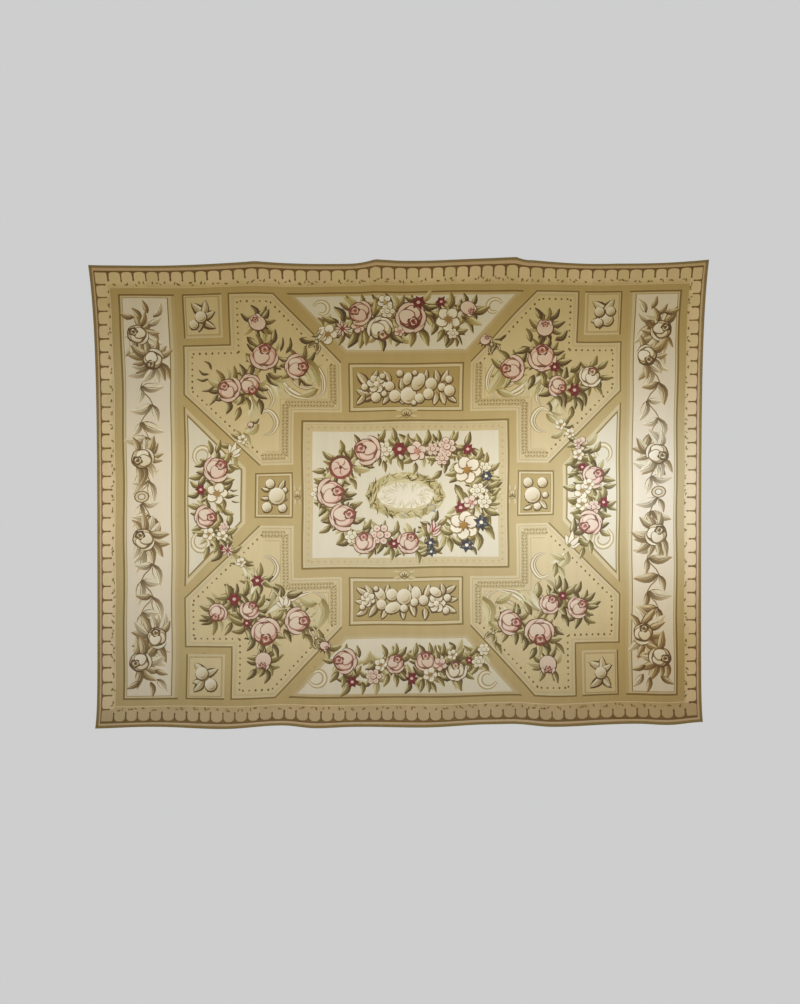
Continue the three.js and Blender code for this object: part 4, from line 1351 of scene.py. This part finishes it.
def lattice(spacing):
    points = []
    rows = int(DROP / (spacing * 0.87))
    for row in range(1, rows):
        v = DROP * row / rows
        across = int(WIDTH / spacing)
        for column in range(1, across):
            u = WIDTH * ((column + 0.5 * (row % 2)) / across - 0.5)
            if abs(u) < WIDTH / 2 - 12:
                points.append((u, v))
    return points


def seams(triangles, top):
    """The edges where two patches meet: all that the cloth still has to be cut along."""
    edges = numpy.sort(numpy.concatenate([triangles[:, pair] for pair in ([0, 1], [1, 2], [2, 0])]), axis=1)
    owner = numpy.tile(top, 3)
    order = numpy.lexsort((edges[:, 1], edges[:, 0]))
    edges, owner = edges[order], owner[order]
    twin = (edges[1:] == edges[:-1]).all(axis=1)
    return edges[1:][twin & (owner[1:] != owner[:-1])]


def straighten(flat, edges, longest, least=0.35):
    """Leaves out a point of a seam that lies on the straight line between its neighbours."""
    near = {}
    for a, b in edges.tolist():
        near.setdefault(a, set()).add(b)
        near.setdefault(b, set()).add(a)
    spots = flat.tolist()
    for index in list(near):
        if len(near[index]) != 2:
            continue
        a, b = near[index]
        (u, v), (u0, v0), (u1, v1) = spots[index], spots[a], spots[b]
        chord = math.hypot(u1 - u0, v1 - v0)
        if b in near[a] or not 0 < chord < longest:
            continue
        if abs((u1 - u0) * (v - v0) - (v1 - v0) * (u - u0)) / chord < least:
            near[a].discard(index)
            near[b].discard(index)
            near[a].add(b)
            near[b].add(a)
            del near[index]
    return numpy.array([(a, b) for a in near for b in near[a] if a < b])


def spare_points(spacing, taken):
    """Lattice points that are not close to a seam."""
    tree = KDTree(len(taken))
    for index, (u, v) in enumerate(taken):
        tree.insert((u, v, 0), index)
    tree.balance()
    return [point for point in lattice(spacing) if tree.find((*point, 0))[2] > spacing * 0.42]


def top_patches(chosen, longest):
    """Cuts along every outline, hidden ones too, and finds the last patch over each triangle."""
    points, faces = list(WOVEN_EDGE), [[0, 1, 2, 3]]
    boxes = [(-math.inf, -math.inf, math.inf, math.inf)]
    for patch in chosen:
        outline = wander(split_long_edges(patch.outline, longest))
        if area(outline) < 0:
            outline.reverse()
        faces.append(list(range(len(points), len(points) + len(outline))))
        points += outline
        u, v = zip(*outline)
        boxes.append((min(u) - 0.1, min(v) - 0.1, max(u) + 0.1, max(v) + 0.1))
    flat, _, triangles, _, _, owners = delaunay_2d_cdt([Vector(p) for p in points], [], faces, 0, 0.02,
                                                       True)
    flat, triangles = numpy.array([tuple(point) for point in flat]), numpy.array(triangles)
    top = []
    for (u, v), here in zip(flat[triangles].mean(axis=1).tolist(), owners):
        fits = [f for f in here if boxes[f][0] <= u <= boxes[f][2] and boxes[f][1] <= v <= boxes[f][3]]
        top.append(max(fits, default=0))
    return flat, triangles, numpy.array(top)


def cut_cloth(chosen, spacing, longest):
    """Triangles of the flat cloth: points, corners, patch numbers, the rim in order, seam points."""
    all_flat, all_triangles, all_top = top_patches(chosen, longest)
    kept = straighten(all_flat, seams(all_triangles, all_top), longest)
    seam_points, kept = numpy.unique(kept, return_inverse=True)
    seam_points, kept = all_flat[seam_points], kept.reshape(-1, 2)
    rim = split_long_edges(WOVEN_EDGE, RIM_STEP)
    points = rim + seam_points.tolist() + spare_points(spacing, seam_points.tolist())
    edges = [(index, (index + 1) % len(rim)) for index in range(len(rim))] + (kept + len(rim)).tolist()
    flat, _, triangles, sources, _, _ = delaunay_2d_cdt([Vector(p) for p in points], edges, [], 0, 0.01,
                                                        True)
    flat = numpy.array([tuple(point) for point in flat])
    triangles = numpy.array(triangles)
    finder = BVHTree.FromPolygons([(u, v, 0) for u, v in all_flat.tolist()], all_triangles.tolist())
    top = [all_top[finder.find_nearest((u, v, 0))[2]] for u, v in flat[triangles].mean(axis=1).tolist()]
    place = {source: index for index, group in enumerate(sources) for source in group}
    return flat, triangles, numpy.array(top), [place[index] for index in range(len(rim))], seam_points


def yarn_colours(flat, triangles, top, chosen):
    """The colour of the wool at each corner of each triangle."""
    ground = Patch([], YARN["tape"], YARN["tape"], (0, 0, 1, 0), True)
    table = [ground, *chosen]
    start = numpy.array([patch.start for patch in table])[top][:, None, :]
    finish = numpy.array([patch.finish for patch in table])[top][:, None, :]
    axis = numpy.array([patch.axis for patch in table], dtype=float)[top][:, None, :]
    spots = flat[triangles]
    run = axis[..., 2:] - axis[..., :2]
    t = ((spots - axis[..., :2]) * run).sum(axis=2) / numpy.maximum((run ** 2).sum(axis=2), 1e-6)
    colours = start + (finish - start) * numpy.clip(t, 0, 1)[..., None]
    spots = spots.reshape(-1, 2)
    # Each corner's colour is aged, with painted light and painted shade by its place on the cloth.
    return aged_and_lit(colours.reshape(-1, 3), spots[:, 0], spots[:, 1])


# %% The cloth as one mesh
def new_object(name, mesh):
    made = bpy.data.objects.new(name, mesh)
    bpy.context.scene.collection.objects.link(made)
    return made


def triangles_of(*objects):
    return sum(len(face.vertices) - 2 for item in objects for face in item.data.polygons)


def add_vectors(mesh, name, values):
    mesh.attributes.new(name, "FLOAT_VECTOR", "POINT").data.foreach_set("vector",
                                                                        numpy.array(values).ravel())


def build_tapestry():
    back_patches = [patch for patch in patches if patch.main or abs(area(patch.outline)) > LEAST_ON_BACK]
    front, front_faces, front_top, front_rim, _ = cut_cloth(patches, FRONT_LATTICE, LONGEST_EDGE)
    back, back_faces, back_top, back_rim, ends = cut_cloth(back_patches, BACK_LATTICE, LONGEST_EDGE * 1.5)
    count = len(front)
    points = numpy.concatenate([hang(front, THICKNESS), hang(back, 0.0)])
    back_faces = back_faces[:, ::-1] + count
    back_rim = [index + count for index in back_rim]
    strip = []
    for a, b, c, d in zip(front_rim, front_rim[1:] + front_rim[:1], back_rim[1:] + back_rim[:1], back_rim):
        strip += [(a, d, c), (a, c, b)]
    triangles = numpy.concatenate([front_faces, back_faces, numpy.array(strip)])
    colours = numpy.concatenate([yarn_colours(front, front_faces, front_top, patches),
                                 yarn_colours(back, back_faces[:, ::-1] - count, back_top, back_patches)
                                 .reshape(-1, 3, 3)[:, ::-1].reshape(-1, 3)])
    edge = numpy.tile(numpy.array(YARN["tape"]), (3 * len(strip), 1))
    colours = numpy.concatenate([colours, edge])
    mesh = bpy.data.meshes.new("tapestry")
    mesh.from_pydata(points, [], triangles)
    shade = mesh.color_attributes.new("yarn", "FLOAT_COLOR", "CORNER")
    shade.data.foreach_set("color", numpy.concatenate([colours, numpy.ones((len(colours), 1))],
                                                      axis=1).ravel())
    flat = numpy.concatenate([front, back])[triangles.ravel()] * MM
    mesh.uv_layers.new(name="cloth").data.foreach_set("uv", flat.ravel())
    mesh.shade_smooth()
    print("front triangles:", len(front_faces), " back:", len(back_faces), " rim:", len(strip))
    return new_object("tapestry_weave", mesh), ends


# %% [markdown]
# ## Shader arithmetic
#
# A woven surface is mostly arithmetic on the place along and across the cloth. A small
# class wraps a node's socket, so that ordinary sums in Python add Math nodes, and one
# method adds any other node.

# %% Arithmetic on nodes
class Strand:
    """A value in a material. Sums on it add Math nodes; node() adds any other node."""

    def __init__(self, tree, socket):
        self.tree, self.socket = tree, socket

    def node(self, kind, inputs, output=0, **settings):
        made = self.tree.nodes.new(kind)
        for name, value in settings.items():
            setattr(made, name, value)
        for place, value in inputs.items():
            if isinstance(value, Strand):
                self.tree.links.new(value.socket, made.inputs[place])
            else:
                made.inputs[place].default_value = value
        return self if output is None else Strand(self.tree, made.outputs[output])

    def maths(self, operation, *values):
        return self.node("ShaderNodeMath", dict(enumerate(values)), operation=operation)

    def __add__(self, other):
        return self.maths("ADD", self, other)

    def __sub__(self, other):
        return self.maths("SUBTRACT", self, other)

    def __mul__(self, other):
        return self.maths("MULTIPLY", self, other)

    def __neg__(self):
        return self * -1.0

    __radd__ = __add__
    __rmul__ = __mul__

    def sine(self):
        return self.maths("SINE", self)

    def size(self):
        return self.maths("ABSOLUTE", self)

    def combine(self, y, z=0.0):
        return self.node("ShaderNodeCombineXYZ", {0: self, 1: y, 2: z})

    def noise(self, scale, detail):
        """Noise from 0 to 1 at this place."""
        return self.node("ShaderNodeTexNoise", {"Vector": self, "Scale": scale, "Detail": detail}, "Fac")

    def blend(self, first, second, kind="MIX"):
        """Mixes two colours by this value."""
        made = self.tree.nodes.new("ShaderNodeMix")
        made.data_type, made.blend_type = "RGBA", kind
        for socket, value in ((made.inputs[0], self), (made.inputs[6], first), (made.inputs[7], second)):
            if isinstance(value, Strand):
                self.tree.links.new(value.socket, socket)
            else:
                socket.default_value = value
        return Strand(self.tree, made.outputs[2])


def start_material(name, **fixed):
    """An empty material with its shader; fixed values go on the shader's own sockets."""
    material = bpy.data.materials.new(name)
    material.use_nodes = True
    tree = material.node_tree
    shader = tree.nodes["Principled BSDF"]
    for socket, value in fixed.items():
        shader.inputs[socket.replace("_", " ")].default_value = value
    return material, Strand(tree, None), shader


def finish_material(strand, shader, colour, roughness, height, distance, strength):
    tree = strand.tree
    bump = strand.node("ShaderNodeBump", {"Height": height, "Distance": distance, "Strength": strength})
    tree.links.new(bump.socket, shader.inputs["Normal"])
    tree.links.new(colour.socket, shader.inputs["Base Color"])
    tree.links.new(roughness.socket, shader.inputs["Roughness"])


# %% [markdown]
# ## The wool
#
# Tapestry is weft-faced: the coloured wool is beaten down over thick warps, so the face is
# ribbed, and each pick of weft is a small bead on a rib. Here the warps run from side to
# side when it hangs, 2.2 mm apart, with a bead every 1.4 mm. The yarn's colour comes from
# the mesh. Fine streaks along the weft stand for uneven spinning, broader ones for dye
# lots, and a slow noise for a century of handling.

# %% Wool material
RIB, BEAD = 2.2 * MM, 1.4 * MM
DUST = (0.46, 0.40, 0.27, 1.0)


def wool_material():
    material, strand, shader = start_material("tapestry_wool", Sheen_Weight=0.25, Sheen_Roughness=0.5,
                                              Specular_IOR_Level=0.15)
    flat = strand.node("ShaderNodeUVMap", {}, uv_map="cloth")
    across = flat.node("ShaderNodeSeparateXYZ", {0: flat}, 0)
    down = flat.node("ShaderNodeSeparateXYZ", {0: flat}, 1)
    yarn = flat.node("ShaderNodeAttribute", {}, "Color", attribute_name="yarn")
    spun = (across * 900.0).combine(down * 26.0).noise(1.0, 2.0)
    lots = (across * 30.0).combine(down * 2.2).noise(1.0, 3.0)
    worn = (across * 9.0).combine(down * 9.0).noise(1.0, 4.0)
    speck = (across * 620.0).combine(down * 450.0).noise(1.0, 1.0)
    tone = 0.80 + spun * 0.10 + lots * 0.14 + worn * 0.08 + speck * 0.10
    grey = tone.combine(tone, tone)
    dyed = (tone * 0.0 + 1.0).blend(yarn, grey, "MULTIPLY")
    colour = (worn * 0.10).blend(dyed, DUST)
    rib = (down * (math.tau / RIB) + spun * 0.8).sine()
    bead = (across * (math.tau / BEAD) + (down * (math.pi / RIB)).sine() * 2.0 + speck).sine()
    height = rib * 0.5 + bead * (0.22 + rib * 0.12) + speck * 0.45 + spun * 0.25
    roughness = 0.84 + speck * 0.12
    finish_material(strand, shader, colour, roughness, height, 0.35 * MM, 0.7)
    return material


wool = wool_material()
tapestry, yarn_ends = build_tapestry()
tapestry.data.materials.append(wool)
print("tapestry triangles:", triangles_of(tapestry))

# %% [markdown]
# ## The tape round the edge
#
# A woven tape, 20 mm wide before it is sewn on, is folded over the edge so that half of it
# shows on each face. Its section is a narrow U with a rounded fold. The section is carried
# along each side of the cloth, and cut at 45 degrees at the ends, where two tapes meet.

# %% The tapes
TAPE_STEP = 12.0
TAPE_SECTION = [                                 # depth in from the edge, height off the cloth's back
    (10.0, 4.05), (9.5, 4.3), (5.5, 4.4), (1.7, 4.3), (0.5, 3.8), (0.0, 2.8), (0.0, 0.2), (0.5, -0.8),
    (1.7, -1.3), (9.5, -1.3), (10.0, -1.05), (9.9, -0.3), (1.0, -0.3), (1.0, 3.3), (9.9, 3.3)]
TAPE_DARK, TAPE_LIGHT, TAPE_RUBBED = (0.20, 0.135, 0.042, 1), (0.32, 0.225, 0.08, 1), (0.40, 0.29, 0.13, 1)


def along_side(side, count):
    return numpy.linspace(0, side.length, count + 1)


def build_tape(side):
    steps = round(side.length / TAPE_STEP)
    rings, cloth_uv, run = [], [], [0.0]
    for (d, h), (d_next, h_next) in zip(TAPE_SECTION, TAPE_SECTION[1:]):
        run.append(run[-1] + math.hypot(d_next - d, h_next - h))
    for along_edge in along_side(side, steps):
        for (depth, height), across_tape in zip(TAPE_SECTION, run):
            wave = 0.35 * math.sin(along_edge / 31) + 0.25 * math.sin(along_edge / 12.7 + 1)
            deep = depth + wave * max(depth - 8, 0) / 2
            limit = deep + MITRE_GAP
            place = min(max(along_edge, limit), side.length - limit)
            rings.append((*edge_point(side, place, deep), height))
            cloth_uv.append((place * MM, across_tape * MM))
    rings = numpy.array(rings)
    points = hang(rings[:, :2], 0.0)
    points[:, 1] -= rings[:, 2] * MM
    size = len(TAPE_SECTION)
    faces = [(a * size + b, a * size + (b + 1) % size, (a + 1) * size + (b + 1) % size, (a + 1) * size + b)
             for a in range(steps) for b in range(size)]
    faces += [list(range(size))[::-1], [steps * size + b for b in range(size)]]
    mesh = bpy.data.meshes.new("tape_" + side.name)
    mesh.from_pydata(points, [], faces)
    corner = [loop.vertex_index for loop in mesh.loops]
    mesh.uv_layers.new(name="tape").data.foreach_set("uv", numpy.array(cloth_uv)[corner].ravel())
    mesh.shade_smooth()
    for cap in mesh.polygons[-2:]:
        cap.use_smooth = False
    if side.name in ("hem", "left"):
        mesh.flip_normals()
    return new_object("tape_" + side.name, mesh)


def tape_material():
    """A narrow herringbone tape, dyed dark brown, with its outer fold rubbed paler."""
    material, strand, shader = start_material("binding_tape", Sheen_Weight=0.08, Specular_IOR_Level=0.12)
    flat = strand.node("ShaderNodeUVMap", {}, uv_map="tape")
    along_tape = flat.node("ShaderNodeSeparateXYZ", {0: flat}, 0)
    across_tape = flat.node("ShaderNodeSeparateXYZ", {0: flat}, 1)
    chevron = (across_tape * 900.0).maths("PINGPONG", across_tape * 400.0, 1.0)
    twill = (along_tape * (math.tau / (1.1 * MM)) + chevron * 5.0).sine()
    warp = (across_tape * (math.tau / (0.8 * MM))).sine()
    uneven = (along_tape * 70.0).combine(across_tape * 160.0).noise(1.0, 3.0)
    fibre = (along_tape * 1500.0).combine(across_tape * 1100.0).noise(1.0, 1.0)
    off_fold = (across_tape - 11.5 * MM).size()
    fold = off_fold.node("ShaderNodeMapRange", {0: off_fold, 1: 0.5 * MM, 2: 4.0 * MM, 3: 0.35, 4: 0.0})
    rubbed = fold * uneven * 1.4
    dark = (uneven * 0.8 + twill * 0.1).blend(TAPE_DARK, TAPE_LIGHT)
    colour = rubbed.blend(dark, TAPE_RUBBED)
    height = twill * 0.5 + warp * 0.25 + fibre * 0.4
    finish_material(strand, shader, colour, 0.85 + fibre * 0.1, height, 0.25 * MM, 0.7)
    return material


tape_paint = tape_material()
tapes = {side.name: build_tape(side) for side in SIDES}
for tape in tapes.values():
    tape.data.materials.append(tape_paint)
print("tape triangles:", triangles_of(*tapes.values()))

# %% [markdown]
# ## The sewing of the tape
#
# Each tape is sewn down with small slanting stitches over its inner edges, in waxed thread.
# The line to be sewn is a row of points that also know which way is out from the cloth.
# Geometry Nodes turn it into a curve, step along it evenly and set a bent thread at each
# step, with a little of the unevenness of handwork from a fixed seed.

# %% A tree and its host
def start_tree(name, sizes):
    """A Geometry Nodes tree with one named input for each size."""
    tree = bpy.data.node_groups.new(name, "GeometryNodeTree")
    tree.interface.new_socket("Geometry", in_out="INPUT", socket_type="NodeSocketGeometry")
    for label, value in sizes.items():
        kind = "NodeSocketInt" if isinstance(value, int) else "NodeSocketFloat"
        tree.interface.new_socket(label, in_out="INPUT", socket_type=kind).default_value = value
    tree.interface.new_socket("Geometry", in_out="OUTPUT", socket_type="NodeSocketGeometry")
    given = tree.nodes.new("NodeGroupInput")
    return {socket.name: Strand(tree, socket) for socket in given.outputs if socket.name}


def end_tree(instances, material):
    """Makes the instances real, gives them their material and ends the tree."""
    real = instances.node("GeometryNodeRealizeInstances", {"Geometry": instances})
    painted = real.node("GeometryNodeSetMaterial", {"Geometry": real, "Material": material})
    painted.node("NodeGroupOutput", {"Geometry": painted}, None)
    return painted.tree


def named(strand, name):
    """A direction that the points of the host carry."""
    return strand.node("GeometryNodeInputNamedAttribute", {"Name": name}, "Attribute",
                       data_type="FLOAT_VECTOR")


def tube(arc, radius):
    """A round thread along a curve."""
    ring = arc.node("GeometryNodeCurvePrimitiveCircle", {"Resolution": 5, "Radius": radius})
    return arc.node("GeometryNodeCurveToMesh", {"Curve": arc, "Profile Curve": ring, "Fill Caps": True})


def set_unevenly(points, piece, out, forward, swing, seed, least, most):
    """Sets the piece at each point, faced out and forward, with a random swing and stretch."""
    facing = points.node("FunctionNodeAxesToRotation", {"Primary Axis": out, "Secondary Axis": forward},
                         primary_axis="Z", secondary_axis="X")
    angle = seed.node("FunctionNodeRandomValue", {"Min": swing[0], "Max": swing[1], "Seed": seed}, 1,
                      data_type="FLOAT")
    turn = angle.node("FunctionNodeAxisAngleToRotation", {"Axis": (0, 0, 1), "Angle": angle})
    turned = facing.node("FunctionNodeRotateRotation", {"Rotation": facing, "Rotate By": turn},
                         rotation_space="LOCAL")
    stretch = seed.node("FunctionNodeRandomValue", {0: least, 1: most, "Seed": seed + 1.0}, 0,
                        data_type="FLOAT_VECTOR")
    return points.node("GeometryNodeInstanceOnPoints", {
        "Points": points, "Instance": piece, "Rotation": turned, "Scale": stretch})


def grow(name, host, tree, sizes):
    """Runs the tree on the host with these sizes and keeps what it makes as a plain mesh."""
    modifier = host.modifiers.new(name, "NODES")
    modifier.node_group = tree
    for item in tree.interface.items_tree:
        if item.in_out == "INPUT" and item.name in sizes:
            modifier[item.identifier] = sizes[item.name]
    evaluated = host.evaluated_get(bpy.context.evaluated_depsgraph_get())
    mesh = bpy.data.meshes.new_from_object(evaluated)
    host.modifiers.remove(modifier)
    bpy.data.objects.remove(host)
    mesh.name = name
    return new_object(name, mesh)


# %% Stitches
STITCH = {"Spacing": 9.0 * MM, "Half length": 2.5 * MM, "Rise": 0.8 * MM, "Thread": 0.42 * MM,
          "Slant": 0.45, "Seed": 7}
FRONT_SEAM, BACK_SEAM = 4.35, -1.15              # height off the cloth's back
THREAD_DARK, THREAD_LIGHT = (0.10, 0.07, 0.035, 1), (0.27, 0.20, 0.11, 1)


def stitch_tree(material):
    given = start_tree("overcast stitches", STITCH)
    seam = given["Geometry"]
    curve = seam.node("GeometryNodeMeshToCurve", {"Mesh": seam})
    curve = curve.node("GeometryNodeResampleCurve", {"Curve": curve, "Length": given["Spacing"]},
                       mode="LENGTH")
    half, rise, slant = given["Half length"], given["Rise"], given["Slant"]
    nought = half * 0.0
    arc = half.node("GeometryNodeCurvePrimitiveBezierSegment", {
        "Resolution": 5, "Start": nought.combine(-half, rise * -1.7),
        "Start Handle": nought.combine(half * -0.7, rise),
        "End Handle": nought.combine(half * 0.7, rise), "End": nought.combine(half, rise * -1.7)})
    made = set_unevenly(curve, tube(arc, given["Thread"]), named(seam, "out"),
                        seam.node("GeometryNodeInputTangent", {}), (slant * 0.6, slant * 1.4),
                        given["Seed"], (0.9, 0.75, 0.85), (1.1, 1.2, 1.1))
    return end_tree(made, material)


def sewing_line(side):
    """The two inner edges of a tape, as rows of points that know which way is out."""
    points, edges, outwards = [], [], []
    for height, out in ((FRONT_SEAM, -1.0), (BACK_SEAM, 1.0)):
        row = along_side(side, round(side.length / TAPE_STEP))[1:-1]
        flat = numpy.array([edge_point(side, place, TAPE_WIDTH) for place in row])
        hung = hang(flat, 0.0)
        hung[:, 1] -= height * MM
        edges += [(len(points) + index, len(points) + index + 1) for index in range(len(row) - 1)]
        points += hung.tolist()
        outwards += [(0.0, out, 0.0)] * len(row)
    mesh = bpy.data.meshes.new("sewing line")
    mesh.from_pydata(points, edges, [])
    add_vectors(mesh, "out", outwards)
    return new_object("sewing line", mesh)


def thread_material():
    """Waxed thread: twisted strands and a slight shine."""
    material, strand, shader = start_material("waxed_thread", Specular_IOR_Level=0.35)
    place = strand.node("ShaderNodeTexCoord", {}, "Object")
    tone = place.noise(190.0, 2.0)
    strands = place.node("ShaderNodeTexWave", {"Vector": place, "Scale": 420.0, "Distortion": 3.0}, "Fac")
    colour = tone.blend(THREAD_DARK, THREAD_LIGHT)
    finish_material(strand, shader, colour, 0.5 + tone * 0.25, strands, 0.12 * MM, 0.6)
    return material


sewing = stitch_tree(thread_material())
stitches = {side.name: grow("stitches_" + side.name, sewing_line(side), sewing,
                            STITCH | {"Seed": STITCH["Seed"] + index})
            for index, side in enumerate(SIDES)}
print("stitch triangles:", triangles_of(*stitches.values()))

# %% [markdown]
# ## The yarn ends on the back
#
# Where a colour ends, the weaver leaves its yarn hanging on the back. Those short tails
# show from behind, and nowhere else. Points are drawn from the seams of the back with the
# seeded dice, each with a yarn's colour and with the way out and down, and Geometry Nodes
# hang a bent tail of wool at each.

# %% Yarn tails
TAIL = {"Length": 24.0 * MM, "Wool": 0.5 * MM, "Sway": 0.6, "Seed": 21}
TAIL_COUNT = 1500
TAIL_MARGIN, TAIL_FROM_HEM, PROBE = 28, 60, 2.0
TAIL_YARNS = ("gold", "gold_deep", "cream", "olive", "sage", "rose", "wine", "tan", "russet", "ivory")


def tail_points():
    inner = [(u, v) for u, v in yarn_ends.tolist()
             if abs(u) < WIDTH / 2 - TAIL_MARGIN and TAIL_MARGIN < v < DROP - TAIL_FROM_HEM]
    flat = numpy.array(dice.sample(inner, TAIL_COUNT))
    across, down = (hang(flat + step, 0.0) - hang(flat - step, 0.0) for step in ((PROBE, 0.0), (0.0, PROBE)))
    out = numpy.cross(across, down)
    out /= numpy.linalg.norm(out, axis=1)[:, None] * numpy.sign(out[:, 1])[:, None]
    down /= numpy.linalg.norm(down, axis=1)[:, None]
    shades = [YARN[dice.choice(TAIL_YARNS)] for _ in flat]
    mesh = bpy.data.meshes.new("tail points")
    mesh.from_pydata(hang(flat, 0.0), [], [])
    for name, values in (("out", out), ("down", down), ("wool", shades)):
        add_vectors(mesh, name, values)
    return new_object("tail points", mesh)


def tail_tree(material):
    given = start_tree("yarn tails", TAIL)
    spots, long, wool = given["Geometry"], given["Length"], given["Wool"]
    arc = long.node("GeometryNodeCurvePrimitiveBezierSegment", {
        "Resolution": 6, "Start": (long * 0.0).combine(0.0, -wool),
        "Start Handle": (long * 0.12).combine(0.0, wool * 5.0),
        "End Handle": (long * 0.6).combine(long * 0.22, wool), "End": long.combine(long * 0.1, wool * 1.4)})
    made = set_unevenly(spots, tube(arc, wool), named(spots, "out"), named(spots, "down"),
                        (-given["Sway"], given["Sway"]), given["Seed"], (0.5, -1.3, 0.8), (1.5, 1.3, 1.1))
    return end_tree(made, material)


def tail_material():
    """The same wool, cut and fuzzy, in each tail's own colour."""
    material, strand, shader = start_material("wool_ends", Sheen_Weight=0.35, Specular_IOR_Level=0.1)
    place = strand.node("ShaderNodeTexCoord", {}, "Object")
    wool = strand.node("ShaderNodeAttribute", {}, "Vector", attribute_name="wool")
    fuzz = place.noise(900.0, 2.0)
    strands = place.node("ShaderNodeTexWave", {"Vector": place, "Scale": 260.0, "Distortion": 4.0}, "Fac")
    tone = 0.7 + fuzz * 0.5
    colour = (fuzz * 0.0 + 1.0).blend(wool, tone.combine(tone, tone), "MULTIPLY")
    finish_material(strand, shader, colour, 0.85 + fuzz * 0.1, strands + fuzz, 0.2 * MM, 0.8)
    return material


tails = grow("yarn_tails", tail_points(), tail_tree(tail_material()), TAIL)
print("tail triangles:", triangles_of(tails))

# %% [markdown]
# ## The floor and the hand-over
#
# The floor is a plain pale sheet below the picture. Each piece then rides on the root, and
# the solids of the model that the cloth and the tapes replace are hidden.

# %% Floor
FLOOR_HEIGHT, FLOOR, FLOOR_GREY = -3.3, box(-3.0, -5.0, 3.0, 0.8), (0.62, 0.62, 0.61, 1.0)
floor_mesh = bpy.data.meshes.new("floor")
floor_mesh.from_pydata([(x, y, FLOOR_HEIGHT) for x, y in FLOOR], [], [(0, 1, 2, 3)])
floor = new_object("floor", floor_mesh)
floor_mesh.materials.append(start_material("pale_floor", Roughness=0.9, Base_Color=FLOOR_GREY)[0])

# %% Hand over the pieces
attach(tapestry, "root")
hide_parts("tapestry")
for name, tape in tapes.items():
    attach(tape, "root")
    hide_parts("binding_" + name)
for seam in stitches.values():
    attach(seam, "root")
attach(tails, "root")
